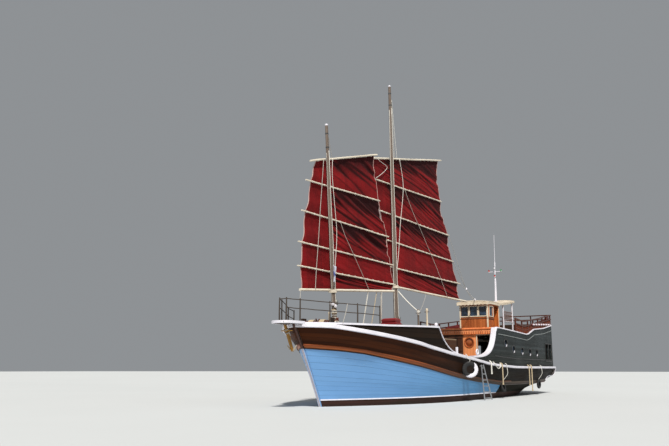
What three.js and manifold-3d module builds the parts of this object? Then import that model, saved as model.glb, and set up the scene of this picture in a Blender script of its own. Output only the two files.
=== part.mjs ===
// Two-masted wooden junk ship, afloat. Millimetres, +X to the bow, +Y to port, +Z up.
// The origin lies on the centreline at the waterline, amidships.
import * as THREE from "three";
import { mergeVertices } from "three/addons/utils/BufferGeometryUtils.js";
import Module from "manifold-3d";

const wasm = await Module();
wasm.setup();

// Driving dimensions

const gap = 0.3; // between pieces that touch
const runGap = 5; // round a piece that swings
const bite = 12; // how deep a trimmed piece is drawn into what carries it
const far = 5000; // reach of a cutting block past the hull

const keelBar = { top: -1150, depth: 300, half: 120, fore: 9600, aft: -11500 };
const stem = { half: 60, proud: 60 };
const shell = { rim: 140, waistFloor: 1300, foreFloor: 1900, board: 40, aftX: -11900, stations: 44 };
const foredeckAt = { z: 2780, fore: 11000, aft: 3650 };
const castleAt = { fore: 1950, bulkhead: -1000, aft: -12350, wall: 90, set: -15, deckZ: 3300, deckBoard: 90 };

// The hull's long lines, from the deck edge down to the keel. stemX and sternX are their ends, beam their
// greatest half-breadth, full the share of their length where it is reached, blunt and round how full the
// bow is, runFrom where they draw in again, sternHalf their half-breadth at the stern, and heights their
// [x, z] course.
const sheer = {
  stemX: 12250, sternX: -12700, beam: 2980, full: 0.36, blunt: 2.6, round: 0.68, runFrom: 0.5, sternHalf: 2250,
  heights: [[12250, 3120], [11400, 3090], [10400, 2950], [9500, 2830], [8400, 2690], [7200, 2530],
    [6400, 2390], [4700, 2170], [2100, 1930], [150, 1730], [-1300, 1650], [-3700, 1580],
    [-7000, 1570], [-12700, 1580]],
};
const boundary = {
  stemX: 11680, sternX: -12150, beam: 2820, full: 0.36, blunt: 2.4, round: 0.9, runFrom: 0.5, sternHalf: 2120,
  heights: [[11680, 2220], [10500, 2130], [9600, 2030], [8900, 1900], [7900, 1730], [6700, 1540],
    [5300, 1310], [4400, 1170], [3400, 1040], [1300, 850], [-1500, 670], [-6000, 660],
    [-10200, 720], [-11000, 920], [-12150, 1040]],
};
const topside = {
  stemX: 11100, sternX: -11700, beam: 2740, full: 0.36, blunt: 2.3, round: 1, runFrom: 0.48, sternHalf: 1500,
  heights: [[11100, 1200], [8000, 980], [4300, 700], [-1500, 480], [-6000, 450], [-11700, 700]],
};
const bootLine = {
  stemX: 10580, sternX: -11250, beam: 2640, full: 0.36, blunt: 2.2, round: 1.1, runFrom: 0.45, sternHalf: 950,
  heights: [[10580, 260], [5500, 290], [-2000, 300], [-7000, 260], [-11250, 480]],
};
const turn = {
  stemX: 10200, sternX: -9950, beam: 2250, full: 0.42, blunt: 2.6, round: 1.1, runFrom: 0.4, sternHalf: 150,
  heights: [[10200, -550], [-6000, -600], [-9950, -450]],
};
const garboard = {
  stemX: 9700, sternX: -9650, beam: 140, full: 0.1, blunt: 2.6, round: 1, runFrom: 0.9, sternHalf: 110,
  heights: [[9700, keelBar.top], [-9650, keelBar.top]],
};
const hullLines = [sheer, boundary, topside, bootLine, turn, garboard];

// Bulwark and cap rail round the bow; the bulwark's after end falls to the deck edge in a hollow curve.
const bulwarkAt = { fore: 12000, aft: 4050, wall: 90, set: -25 };
const capRun = [[12400, 3150], [11000, 3145], [9000, 3140], [6400, 3200], [5650, 3210]];
const bulwarkEnd = [[5650, 3210], [5580, 3130], [5500, 3000], [5400, 2860], [5280, 2730], [5100, 2570],
  [4900, 2440], [4650, 2310], [4360, 2200], [4050, 2150]];
const cap = { fore: 12250, aft: 5650, set: 25, wide: 190, thick: 55, lap: 15, noseFore: 12400, noseHalf: 260 };
const platform = {
  low: 3110, high: 3220,
  outline: [[12420, -520], [12420, 520], [13300, 420], [13600, 260], [13600, -260], [13300, -420]],
};
const bowRail = {
  run: [[13500, 4060], [9000, 3860]], rail: 30, post: 46, postTop: 40, finial: 55, drops: [0, 330],
  nose: [[13000, 160], [12500, 430]], deckPosts: [11400, 10400, 9400], inset: 80, sink: 20,
};
const anchor = {
  shank: [[12850, 50, 60, 3060], [12560, 55, 65, 2500], [12330, 65, 80, 2060]], // x, half x, half y, z
  stock: { x: 12745, z: 2860, half: 260, radius: 30 },
  fluke: { x: 12350, z: 2110, tipX: 12420, tipY: 230, tipZ: 2330, radius: 40, tip: 26 },
  hanger: { x: 12850, z: 3000, radius: 30 },
};

// Deck gear
const hatch = { fore: 7700, aft: 6700, half: 450, coaming: 220, lap: 60, lid: 60 };
const windlass = {
  x: 10700, up: 420, half: 620, barrel: 150, axle: 50, cheek: 110, top: 240, bar: 240, barRadius: 28,
};
const bench = {
  aft: 5000, fore: 5900, starboard: -600, port: 1500, tall: 420, cushion: 140, inset: 30, toe: 60,
};
const bollardAt = { x: 3850, tall: 330, radius: 58, top: 62, footX: 110, footY: 50, foot: 60 };

// Both sails: height of each spar along the mast, and how far it reaches forward and aft of the mast.
const foreRig = {
  name: "fore", mastX: 9198, rake: 4.4, yaw: -5.5, mastFoot: foredeckAt.z, mastTop: 11650,
  footRadius: 105, topRadius: 62,
  spars: [
    { name: "boom", rise: 4690, riseAft: 4650, fore: 1910, aft: 4730 },
    { name: "batten_4", rise: 5650, riseAft: 4950, fore: 1980, aft: 4900 },
    { name: "batten_3", rise: 6620, riseAft: 5860, fore: 1880, aft: 4840 },
    { name: "batten_2", rise: 7900, riseAft: 7180, fore: 1610, aft: 4570 },
    { name: "batten_1", rise: 9190, riseAft: 8820, fore: 1270, aft: 3990 },
    { name: "yard", rise: 10020, riseAft: 11000, fore: 960, aft: 3950 },
  ],
};
const mainRig = {
  name: "main", mastX: 4006, rake: 1.7, yaw: -3, mastFoot: foredeckAt.z, mastTop: 15200,
  footRadius: 125, topRadius: 65,
  spars: [
    { name: "boom", rise: 5340, riseAft: 4930, fore: 250, aft: 7870 },
    { name: "batten_4", rise: 6250, riseAft: 5880, fore: 250, aft: 7230 },
    { name: "batten_3", rise: 7520, riseAft: 7050, fore: 300, aft: 6540 },
    { name: "batten_2", rise: 8870, riseAft: 8460, fore: 850, aft: 6170 },
    { name: "batten_1", rise: 10340, riseAft: 10240, fore: 1400, aft: 5420 },
    { name: "yard", rise: 11330, riseAft: 12570, fore: 1350, aft: 5550 },
  ],
};
const mastStep = { buried: 60, tall: 180, foot: 70, top: 50 };
const masthead = 95; // radius of the ball at the top
const collar = { below: 130, tall: 120, proud: 55 }; // carries the boom's ring
const boomRing = { tall: 130, thick: 45, armHalf: 90, armLow: 20, armHigh: 125 };
const battenRadius = 40;
const boomRadius = 54; // of booms and yards
const clothThick = 24;
const clothInset = 110; // the cloth ends this far inside the spar ends
const clothStand = 12; // the spars clear the mast's foot radius by this much

// Stern castle
const castleRun = [[2000, 1990], [1600, 2000], [1200, 2020], [900, 2045], [600, 2085], [300, 2150],
  [50, 2230], [-160, 2335], [-350, 2470], [-500, 2610], [-630, 2780], [-740, 2960], [-830, 3140],
  [-900, 3330], [-950, 3500], [-1600, 3490], [-3100, 3440], [-5900, 3340], [-6300, 3370], [-7600, 3690],
  [-9900, 3850], [-12400, 4150]];
const porthole = {
  radius: 200, at: [[-2300, 2760], [-3500, 2460], [-5000, 2400], [-6500, 2360], [-8000, 2350]],
};
const gallery = {
  aft: -11900, fore: -10200, low: 1950, high: 2950, mullions: [-11050], mullionHalf: 45,
};
const bulkhead = { thick: 80, high: 3540, inset: 20, fasciaLow: 3190, fasciaHigh: 3500, fasciaProud: 70 };
const doorway = { inner: 1910, outer: 2600, sill: 60, top: 3150 };
const roundWindow = { y: 1470, z: 2790, radius: 230 };
const transomAt = {
  x: -12500, thick: 94, inset: 100, flare: 60, cornerZ: 4180, crownZ: 4300,
  windows: [-1200, 0, 1200], windowHalf: 350, windowLow: 2150, windowHigh: 2850,
};
const poop = {
  run: [[-4100, 4180], [-5600, 4080], [-7000, 4230], [-9000, 4450], [-12300, 4850]],
  fore: -4100, aft: -12300, outer: -12440, rail: 70, railTall: 60, drops: [0, 260], posts: 8, postStep: 1160,
  postHalf: 35, aftPosts: [950, 1900], aftPostX: -12371, aftFoot: 4150,
};

// Wheelhouse on the castle's deck, and what stands under and on its roof
const house = {
  front: -5250, back: -7000, half: 850, wall: 60, eave: 5180,
  windowLow: 4450, windowHigh: 4980, frontWindows: [-560, 0, 560], frontHalf: 220,
  sideWindow: [-6050, -5500], aftWindow: [-6800, -6250], backHalf: 400,
  door: { aft: -6900, fore: -6250, sill: 60, top: 5060 },
};
const roof = {
  half: 900, thick: 60, crown: 70,
  run: [[-5060, 5190], [-5600, 5240], [-6300, 5235], [-7040, 5210], [-7700, 5263], [-8300, 5338],
    [-8900, 5434], [-9500, 5530]],
};
const awning = { y: 840, posts: [-7760, -9300], radius: 45, railZ: 4250, rail: 35 };
const helm = {
  x: -5620, up: 1000, radius: 380, tube: 24, hub: 70, axle: 25, spoke: 17, grip: 130, standTop: 1150,
};
const pole = {
  x: -8800, foot: 5480, baseHalf: 90, baseTop: 5560, topX: -8920, top: 8000, radius: 50, topRadius: 30,
  armZ: 7400, armHalf: 420, armRadius: 22, aerialX: -8970, aerialTop: 9750, aerialRadius: 16, aerialTip: 10,
};

// Doors stand open at rest, folded back inside. along and across are a leaf's lengths in X and Y.
const knuckle = { radius: 25, tall: 120, low: 200, high: 320 };
const cabinLeaf = { x: -1105, y: 2630, along: 675, across: 0, low: 1410, high: 3090 };
const houseLeaf = { x: -6915, y: 765, along: 0, across: 15, low: 3370, high: 5050 };
const leafWide = 655;
const leafHalf = { along: 20, across: 15 };

// Steering and drive
const rudderAt = {
  x: -10800, stock: 60, top: 950, half: 38,
  outline: [[-20, -1110], [-850, -1110], [-900, 380], [-450, 330], [-20, 60]],
};
const screw = {
  x: -10250, z: -700, shaft: 45, shaftFore: 850, hub: 90, hubAft: 60, hubHalf: 120,
  blade: 350, chord: 110, pitch: 32,
};
const engine = { aft: -7000, fore: -5200, half: 450, low: -150, high: 950, bay: 60 };

// Gear along the port side. lean and turn are a tyre's angles from hanging flat against a plumb side.
const fenders = [
  { name: "fender_1", x: 3080, z: 1430, radius: 370, thick: 150, lean: 0, turn: 52 },
  { name: "fender_2", x: -1960, z: 550, radius: 260, thick: 120, lean: 14, turn: 0 },
  { name: "fender_3", x: -8450, z: 600, radius: 260, thick: 120, lean: 0, turn: 0 },
];
const ladderAt = {
  fore: [1330, 1140], aft: [1070, 60], top: 1650, low: -350, rail: 28, rung: 22, rungs: 7, step: 280,
  off: 70, flare: 0.03,
};

const finishes = {
  blue: { color: 0x74aadb, roughness: 0.5, metalness: 0 },
  white: { color: 0xdedae4, roughness: 0.5, metalness: 0 },
  varnish: { color: 0x4a2a1a, roughness: 0.4, metalness: 0 },
  orange: { color: 0xc8672f, roughness: 0.5, metalness: 0 },
  slate: { color: 0x3c4648, roughness: 0.6, metalness: 0 },
  deck: { color: 0x8a6f52, roughness: 0.7, metalness: 0 },
  mast: { color: 0x7d6f62, roughness: 0.7, metalness: 0 },
  spar: { color: 0xd8c8ac, roughness: 0.6, metalness: 0 },
  sail: { color: 0x9c1f24, roughness: 0.9, metalness: 0 },
  rubber: { color: 0x1a1a1c, roughness: 0.9, metalness: 0 },
  iron: { color: 0x4c4c4e, roughness: 0.5, metalness: 0.8 },
  bronze: { color: 0xa67c3d, roughness: 0.35, metalness: 0.9 },
};

// Shape helpers

const v3 = (x, y, z) => new THREE.Vector3(x, y, z);
const radians = THREE.MathUtils.degToRad;

function solid(geometry) {
  const bare = geometry.index ? geometry.clone() : geometry;
  bare.deleteAttribute("normal");
  bare.deleteAttribute("uv");
  const merged = mergeVertices(bare, 1e-3);
  return new wasm.Manifold(new wasm.Mesh({
    numProp: 3,
    vertProperties: new Float32Array(merged.attributes.position.array),
    triVerts: new Uint32Array(merged.index.array),
  }));
}

function geometryOf(manifold) {
  const mesh = manifold.getMesh();
  const points = new Float32Array(mesh.numVert * 3);
  for (let i = 0; i < mesh.numVert; i++) {
    points.set(mesh.vertProperties.subarray(i * mesh.numProp, i * mesh.numProp + 3), i * 3);
  }
  const geometry = new THREE.BufferGeometry();
  geometry.setAttribute("position", new THREE.BufferAttribute(points, 3));
  geometry.setIndex(new THREE.BufferAttribute(mesh.triVerts, 1));
  return geometry;
}

const join = (parts) => geometryOf(parts.map(solid).reduce((a, b) => a.add(b)));

const cut = (body, tools) => geometryOf(tools.map(solid).reduce((a, b) => a.subtract(b), solid(body)));

// Trims a piece where it reaches into what carries it, leaves the gap between them, and drops crumbs.
function seated(piece, ...carriers) {
  const trimmed = solid(cut(piece, carriers.map((carrier) => carrier.clone().translate(0, 0, gap))));
  const bodies = trimmed.decompose().sort((a, b) => b.volume() - a.volume());
  return geometryOf(bodies[0]);
}

function box(x0, x1, y0, y1, z0, z1) {
  return new THREE.BoxGeometry(Math.abs(x1 - x0), Math.abs(y1 - y0), Math.abs(z1 - z0))
    .translate((x0 + x1) / 2, (y0 + y1) / 2, (z0 + z1) / 2);
}

function rod(from, to, radiusFrom, radiusTo = radiusFrom, sides = 12) {
  const along = to.clone().sub(from);
  const turnTo = new THREE.Quaternion().setFromUnitVectors(v3(0, 1, 0), along.clone().normalize());
  return new THREE.CylinderGeometry(radiusTo, radiusFrom, along.length(), sides)
    .applyQuaternion(turnTo)
    .translate((from.x + to.x) / 2, (from.y + to.y) / 2, (from.z + to.z) / 2);
}

// A turning shaft, and the bore whose flats clear the shaft's corners.
const shaftSides = 24;
const shaft = (from, to, radius) => rod(from, to, radius, radius, shaftSides);
const bore = (from, to, radius) => shaft(from, to, (radius + gap) / Math.cos(Math.PI / shaftSides));

// An outline in a named plane, pushed out from low to high across that plane.
function plate(outline, low, high, plane = "xz") {
  const shape = new THREE.Shape(outline.map(([a, b]) => new THREE.Vector2(a, b)));
  const geometry = new THREE.ExtrudeGeometry(shape, { depth: high - low, bevelEnabled: false });
  if (plane === "xz") return geometry.rotateX(Math.PI / 2).translate(0, high, 0);
  if (plane === "xy") return geometry.translate(0, 0, low);
  const standing = new THREE.Matrix4().makeBasis(v3(0, 1, 0), v3(0, 0, 1), v3(1, 0, 0));
  return geometry.applyMatrix4(standing).translate(low, 0, 0);
}

// A closed skin over rings of the same number of points; each ring's end caps fold pairwise from its
// first and last points inwards.
function loft(rings) {
  const count = rings[0].length;
  const faces = [];
  const quad = (a, b, c, d) => faces.push(a, b, c, a, c, d);
  for (let i = 0; i + 1 < rings.length; i++) {
    for (let j = 0; j < count; j++) {
      const k = (j + 1) % count;
      quad(i * count + j, i * count + k, (i + 1) * count + k, (i + 1) * count + j);
    }
  }
  const last = (rings.length - 1) * count;
  for (let j = 0; j + 1 < count - 1 - j; j++) {
    const back = count - 1 - j;
    if (j + 1 === back - 1) {
      faces.push(back, j + 1, j);
      faces.push(last + j, last + j + 1, last + back);
    } else {
      quad(back, back - 1, j + 1, j);
      quad(last + j, last + j + 1, last + back - 1, last + back);
    }
  }
  return closedGeometry(rings.flat(), faces);
}

// A closed skin, with its faces turned outwards.
function closedGeometry(points, faces) {
  let volume = 0;
  for (let i = 0; i < faces.length; i += 3) {
    const [a, b, c] = faces.slice(i, i + 3).map((index) => points[index]);
    volume += a.dot(b.clone().cross(c));
  }
  const geometry = new THREE.BufferGeometry().setFromPoints(points);
  geometry.setIndex(volume < 0 ? faces.toReversed() : faces);
  return geometry;
}

// Reads a table of [x, value] pairs that runs from the bow aft.
function between(table, x) {
  if (x >= table[0][0]) return table[0][1];
  for (let i = 1; i < table.length; i++) {
    const [xa, a] = table[i - 1];
    const [xb, b] = table[i];
    if (x >= xb) return a + ((b - a) * (xa - x)) / (xa - xb);
  }
  return table.at(-1)[1];
}

// Half-breadth of a hull line at a share of its length from the stem.
function halfBreadth(line, share) {
  const entry = Math.min(share / line.full, 1);
  const bow = Math.pow(1 - Math.pow(1 - entry, line.blunt), line.round);
  const run = Math.max(0, (share - line.runFrom) / (1 - line.runFrom));
  const stern = (line.beam - line.sternHalf) * run * run;
  return stem.half + (line.beam - stem.half) * bow - stern;
}

function breadthAt(line, x) {
  const share = (line.stemX - x) / (line.stemX - line.sternX);
  return halfBreadth(line, Math.min(1, Math.max(0, share)));
}

const sheerY = (x) => breadthAt(sheer, x);
const sheerZ = (x) => between(sheer.heights, x);

// Half-breadth of the hull's skin at a place above the boot line.
function bodyY(x, z) {
  const lines = [sheer, boundary, topside, bootLine];
  return between(lines.map((line) => [between(line.heights, x), breadthAt(line, x)]), z);
}

// X stations between two ends, closer together towards the stem.
function stations(fromX, toX, step) {
  const fineFrom = 9500;
  const fine = 0.35;
  const list = [fromX];
  while (list.at(-1) - step * 0.6 > toX) {
    const here = list.at(-1);
    list.push(here - (here > fineFrom ? step * fine : step));
  }
  list[list.length - 1] = toX;
  return list;
}

// A plank or wall along one side of the hull. side is 1 to port and -1 to starboard, outer how far its
// outer face lies outside the deck edge, low and high its heights as functions of x, and knots the places
// where those change slope.
function sidePiece(side, fromX, toX, outer, thick, low, high, step, knots = []) {
  const near = 45;
  const even = stations(fromX, toX, step).filter((x) => knots.every((knot) => Math.abs(knot - x) > near)
    || x === fromX || x === toX);
  const extra = knots.filter((x) => x < fromX - near && x > toX + near);
  return loft([...even, ...extra].sort((a, b) => b - a).map((x) => {
    const y = sheerY(x) + outer;
    return [v3(x, side * y, low(x)), v3(x, side * y, high(x)),
      v3(x, side * (y - thick), high(x)), v3(x, side * (y - thick), low(x))];
  }));
}

// A deck or hollow with the plan of the deck edge, set in by a margin, and below the deck edge with
// the slope of the hull's skin.
function planPrism(fromX, toX, inset, low, high) {
  const step = 700;
  return loft(stations(fromX, toX, step).map((x) => {
    const y = sheerY(x) - inset;
    const knee = Math.min(Math.max(sheerZ(x), low + 1), high - 1);
    const foot = Math.min(y, bodyY(x, Math.min(low, sheerZ(x))) - inset);
    const port = [v3(x, y, high), v3(x, y, knee), v3(x, foot, low)];
    return [...port, ...port.toReversed().map((p) => v3(x, -p.y, p.z))];
  }));
}

// What fills a hollow of the hull from its floor up to a height, a millimetre clear of its sides.
function plug(fromX, toX, low, high) {
  const over = 10;
  const block = (x0, x1, z0, z1) => box(x0, x1, -far, far, z0, z1);
  return cut(planPrism(fromX, toX, shell.rim + 1, low, far - over), [
    block(toX - over, toX + 1, low - over, far),
    block(fromX - 1, fromX + over, low - over, far),
    block(toX - over, fromX + over, low - over, low + gap),
    block(toX - over, fromX + over, high, far),
  ]);
}

// Hull, keel and decks

function hull() {
  const aftCrowding = 1.35; // more stations towards the stem
  const rings = [];
  for (let i = 0; i <= shell.stations; i++) {
    const share = Math.pow(i / shell.stations, aftCrowding);
    const port = hullLines.map((line) => {
      const x = line.stemX + (line.sternX - line.stemX) * share;
      return v3(x, halfBreadth(line, share), between(line.heights, x));
    });
    rings.push([...port, ...port.toReversed().map((p) => v3(p.x, -p.y, p.z))]);
  }
  const { bay } = engine;
  const lap = 50; // the two hollows meet at the foredeck's after end
  return cut(loft(rings), [
    planPrism(foredeckAt.fore, foredeckAt.aft + lap, shell.rim, shell.foreFloor, far),
    planPrism(foredeckAt.aft - lap, shell.aftX, shell.rim, shell.waistFloor, far),
    box(engine.aft - bay, engine.fore + bay, -engine.half - bay, engine.half + bay, engine.low,
      shell.waistFloor + 1),
    bore(v3(rudderAt.x, 0, -300), v3(rudderAt.x, 0, rudderAt.top + bay), rudderAt.stock),
    bore(v3(screw.x - screw.shaftFore, 0, screw.z), v3(screw.x + screw.shaftFore + bay, 0, screw.z),
      screw.shaft),
  ]);
}

const keel = () => box(keelBar.aft, keelBar.fore, -keelBar.half, keelBar.half,
  keelBar.top - keelBar.depth, keelBar.top - gap);

function stemPost() {
  const stand = gap * 2;
  const face = hullLines.map((line) => [line.stemX + stand, line.heights[0][1]]);
  const front = face.toReversed().map(([x, z]) => [x + stem.proud, z]);
  const low = keelBar.top - keelBar.depth;
  const back = keelBar.fore + gap;
  const foot = [garboard.stemX + stem.proud, low];
  return plate([...face, [back, keelBar.top - gap], [back, low], foot, ...front], -stem.half, stem.half);
}

function foredeck() {
  const lap = 50;
  const block = plug(foredeckAt.fore, foredeckAt.aft + lap, shell.foreFloor, foredeckAt.z);
  const coaming = box(hatch.aft + hatch.lap, hatch.fore - hatch.lap, -hatch.half + hatch.lap,
    hatch.half - hatch.lap, foredeckAt.z - lap, foredeckAt.z + hatch.coaming);
  return join([block, coaming]);
}

function foreHatch() {
  const low = foredeckAt.z + hatch.coaming + gap;
  const board = box(hatch.aft, hatch.fore, -hatch.half, hatch.half, low, low + hatch.lid);
  const handle = box(hatch.fore - 170, hatch.fore - 110, -140, 140, low + hatch.lid - 10, low + hatch.lid + 35);
  return join([board, handle]);
}

const mainDeck = () => plug(foredeckAt.aft - 50, shell.aftX, shell.waistFloor,
  shell.waistFloor + shell.board);

const capZ = (x) => between(capRun, x);
const bulwarkTop = (x) => (x > cap.aft ? capZ(x) : between(bulwarkEnd, x));

const bulwark = (side) => seated(
  sidePiece(side, bulwarkAt.fore, bulwarkAt.aft, bulwarkAt.set, bulwarkAt.wall,
    (x) => sheerZ(x) - bite, bulwarkTop, 350, bulwarkEnd.map(([x]) => x)),
  hullBody);

function capRail() {
  const low = (x) => capZ(x) - cap.lap;
  const high = (x) => capZ(x) + cap.thick;
  const half = (side) => sidePiece(side, cap.fore, cap.aft, cap.set, cap.wide, low, high, 400);
  const nose = box(cap.fore - 150, cap.noseFore, -cap.noseHalf, cap.noseHalf, low(cap.fore), high(cap.fore));
  return seated(join([half(1), half(-1), nose]), bulwark(1), bulwark(-1));
}

const bowPlatform = () => plate(platform.outline, platform.low, platform.high, "xy");

// Rails on posts round the bow and out round its platform.
function bowRailing() {
  const topZ = (x) => between(bowRail.run, x);
  const parts = [];
  const rail = (from, to) => parts.push(rod(from, to, bowRail.rail, bowRail.rail, 6));
  for (const side of [1, -1]) {
    const posts = [...bowRail.nose, ...bowRail.deckPosts.map((x) => [x, sheerY(x) - bowRail.inset])];
    posts.forEach(([x, y], i) => {
      const foot = i < bowRail.nose.length ? platform.high : capZ(x) + cap.thick;
      const top = v3(x, side * y, topZ(x) + bowRail.finial);
      parts.push(rod(v3(x, side * y, foot - bowRail.sink), top, bowRail.post, bowRail.postTop, 8));
      if (!i) return;
      const [xa, ya] = posts[i - 1];
      for (const drop of bowRail.drops) {
        rail(v3(xa, side * ya, topZ(xa) - drop), v3(x, side * y, topZ(x) - drop));
      }
    });
  }
  const [noseX, noseY] = bowRail.nose[0];
  rail(v3(noseX, -noseY, topZ(noseX)), v3(noseX, noseY, topZ(noseX)));
  return seated(join(parts), capRail(), bowPlatform());
}

function woodenAnchor() {
  const { stock, fluke, hanger } = anchor;
  const shank = loft(anchor.shank.map(([x, hx, hy, z]) =>
    [v3(x - hx, hy, z), v3(x + hx, hy, z), v3(x + hx, -hy, z), v3(x - hx, -hy, z)]));
  const bar = rod(v3(stock.x, -stock.half, stock.z), v3(stock.x, stock.half, stock.z), stock.radius,
    stock.radius, 8);
  const arms = [1, -1].map((side) => rod(v3(fluke.x, 0, fluke.z),
    v3(fluke.tipX, side * fluke.tipY, fluke.tipZ), fluke.radius, fluke.tip, 8));
  const hook = rod(v3(hanger.x, 0, hanger.z), v3(hanger.x, 0, platform.low - gap), hanger.radius,
    hanger.radius, 8);
  return join([shank, bar, ...arms, hook]);
}

function windlassFrame() {
  const { x, half, cheek } = windlass;
  const low = foredeckAt.z + gap;
  const axisZ = foredeckAt.z + windlass.up;
  const cheeks = [1, -1].map((side) => cut(
    box(x - cheek, x + cheek, side * half, side * (half + cheek), low, axisZ + windlass.top),
    [bore(v3(x, side * half - 200, axisZ), v3(x, side * half + 200, axisZ), windlass.axle)]));
  const beam = box(x - 60, x + 60, -half - 20, half + 20, low, foredeckAt.z + 120);
  return join([...cheeks, beam]);
}

function windlassDrum() {
  const mid = v3(windlass.x, 0, foredeckAt.z + windlass.up);
  const out = (y) => mid.clone().setY(y);
  const half = windlass.half - runGap;
  const reach = windlass.half + windlass.cheek;
  const bars = [0, 60, 120].map((deg) => {
    const arm = v3(Math.cos(radians(deg)), 0, Math.sin(radians(deg))).multiplyScalar(windlass.bar);
    return rod(mid.clone().sub(arm), mid.clone().add(arm), windlass.barRadius, windlass.barRadius, 8);
  });
  return join([rod(out(-half), out(half), windlass.barrel, windlass.barrel, 16),
    shaft(out(-reach), out(reach), windlass.axle), ...bars]);
}

// A locker with a toe recess all round, and its cushion.
function deckBench() {
  const { aft, fore, starboard, port, toe } = bench;
  const low = foredeckAt.z + gap;
  const top = foredeckAt.z + bench.tall;
  return join([
    box(aft + toe, fore - toe, starboard + toe, port - toe, low, top - 1),
    box(aft, fore, starboard, port, low + 100, top),
  ]);
}

const benchCushion = () => box(bench.aft + bench.inset, bench.fore - bench.inset,
  bench.starboard + bench.inset, bench.port - bench.inset,
  foredeckAt.z + bench.tall + gap, foredeckAt.z + bench.tall + bench.cushion);

function bollard(side) {
  const { x } = bollardAt;
  const y = side * (sheerY(x) - shell.rim / 2);
  const z = sheerZ(x);
  const post = rod(v3(x, y, z), v3(x, y, z + bollardAt.tall), bollardAt.radius, bollardAt.top, 12);
  const foot = box(x - bollardAt.footX, x + bollardAt.footX, y - bollardAt.footY, y + bollardAt.footY,
    z - 30, z + bollardAt.foot);
  return seated(join([post, foot]), hullBody);
}

// Masts and sails

function mastRadiusAt(rig, h) {
  const share = (h - rig.mastFoot) / (rig.mastTop - rig.mastFoot);
  return rig.footRadius + (rig.topRadius - rig.footRadius) * share;
}

const collarTop = (rig) => rig.spars[0].rise - collar.below;

// Built upright about the mast's axis, then raked and stepped on the foredeck.
function mast(rig) {
  const buried = rig.mastFoot - mastStep.buried;
  const ledge = rig.footRadius + collar.proud;
  const upright = join([
    rod(v3(0, 0, buried), v3(0, 0, rig.mastTop), rig.footRadius, rig.topRadius, 12),
    rod(v3(0, 0, collarTop(rig) - collar.tall), v3(0, 0, collarTop(rig)), ledge, ledge, 16),
    new THREE.SphereGeometry(masthead, 10, 6).translate(0, 0, rig.mastTop),
    rod(v3(0, 0, buried), v3(0, 0, rig.mastFoot + mastStep.tall), rig.footRadius + mastStep.foot,
      rig.footRadius + mastStep.top, 12),
  ]);
  return seated(upright.rotateY(radians(rig.rake)).translate(rig.mastX, 0, 0), foredeck());
}

// The sail hangs to starboard of its mast, with its spars between the two.
const clothFace = (rig) => -(rig.footRadius + clothStand + 2 * boomRadius);

// A round spar with a flat seat for the cloth. The boom has a ring that turns on the mast's collar.
function spar(rig, row) {
  const flat = 0.93; // the seat lies this share of the radius from the axis
  const radius = row.name === "boom" || row.name === "yard" ? boomRadius : battenRadius;
  const face = clothFace(rig) + gap;
  const y = face + flat * radius;
  const round = rod(v3(row.fore, y, row.rise), v3(-row.aft, y, row.riseAft), radius, radius, 10);
  const stick = cut(round, [box(-2 * far, 2 * far, face - far, face, 0, 4 * far)]);
  if (row.name !== "boom") return stick;
  const low = collarTop(rig);
  const inner = mastRadiusAt(rig, low) + runGap;
  const outer = inner + boomRing.thick;
  const ring = cut(rod(v3(0, 0, low + gap), v3(0, 0, low + boomRing.tall), outer, outer, 20),
    [rod(v3(0, 0, low - 50), v3(0, 0, low + 2 * boomRing.tall), inner, inner, 20)]);
  const arm = box(-boomRing.armHalf, boomRing.armHalf, y - 20, -inner - 15, low + boomRing.armLow,
    low + boomRing.armHigh);
  return join([stick, ring, arm]);
}

// One flat sheet lashed behind the spars, cut to their line a little inside their ends.
function sailCloth(rig) {
  const corner = (row, x) => {
    const fall = (row.riseAft - row.rise) / (row.fore + row.aft);
    return [x, row.rise + fall * (row.fore - x)];
  };
  const luff = rig.spars.map((row) => corner(row, row.fore - clothInset));
  const leech = rig.spars.map((row) => corner(row, clothInset - row.aft)).toReversed();
  return plate([...luff, ...leech], clothFace(rig) - clothThick, clothFace(rig));
}

// Stern castle

const castleTop = (x) => between(castleRun, x);

function castleSide(side) {
  const body = sidePiece(side, castleAt.fore, castleAt.aft, castleAt.set, castleAt.wall,
    (x) => sheerZ(x) - bite, castleTop, 350, castleRun.map(([x]) => x));
  const holes = porthole.at.map(([x, z]) =>
    rod(v3(x, side * 1800, z), v3(x, side * 3400, z), porthole.radius, porthole.radius, 16));
  const opening = box(gallery.aft, gallery.fore, side * 1500, side * 3400, gallery.low, gallery.high);
  const mullions = gallery.mullions.map((x) => sidePiece(side, x + gallery.mullionHalf,
    x - gallery.mullionHalf, castleAt.set - 2, castleAt.wall - 4, () => gallery.low - 50,
    () => gallery.high + 50, 45));
  return seated(join([cut(body, [...holes, opening]), ...mullions]), hullBody);
}

function frontBulkhead() {
  const back = castleAt.bulkhead - bulkhead.thick;
  const low = shell.waistFloor + shell.board + gap;
  const y = sheerY(back) - shell.rim - bulkhead.inset;
  const foot = bodyY(back, low) - shell.rim - bulkhead.inset;
  const knee = sheerZ(castleAt.bulkhead);
  const outline = [[-foot, low], [foot, low], [y, knee], [y, bulkhead.high], [-y, bulkhead.high], [-y, knee]];
  const panel = plate(outline, back, castleAt.bulkhead, "yz");
  const fascia = box(castleAt.bulkhead - 20, castleAt.bulkhead + bulkhead.fasciaProud, -y, y,
    bulkhead.fasciaLow, bulkhead.fasciaHigh);
  const [before, behind] = [castleAt.bulkhead + 200, castleAt.bulkhead - 200];
  const openings = [1, -1].flatMap((side) => [
    box(behind, before, side * doorway.inner, side * doorway.outer, low + doorway.sill, doorway.top),
    rod(v3(behind, side * roundWindow.y, roundWindow.z), v3(before, side * roundWindow.y, roundWindow.z),
      roundWindow.radius, roundWindow.radius, 20),
  ]);
  return cut(join([panel, fascia]), openings);
}

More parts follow.
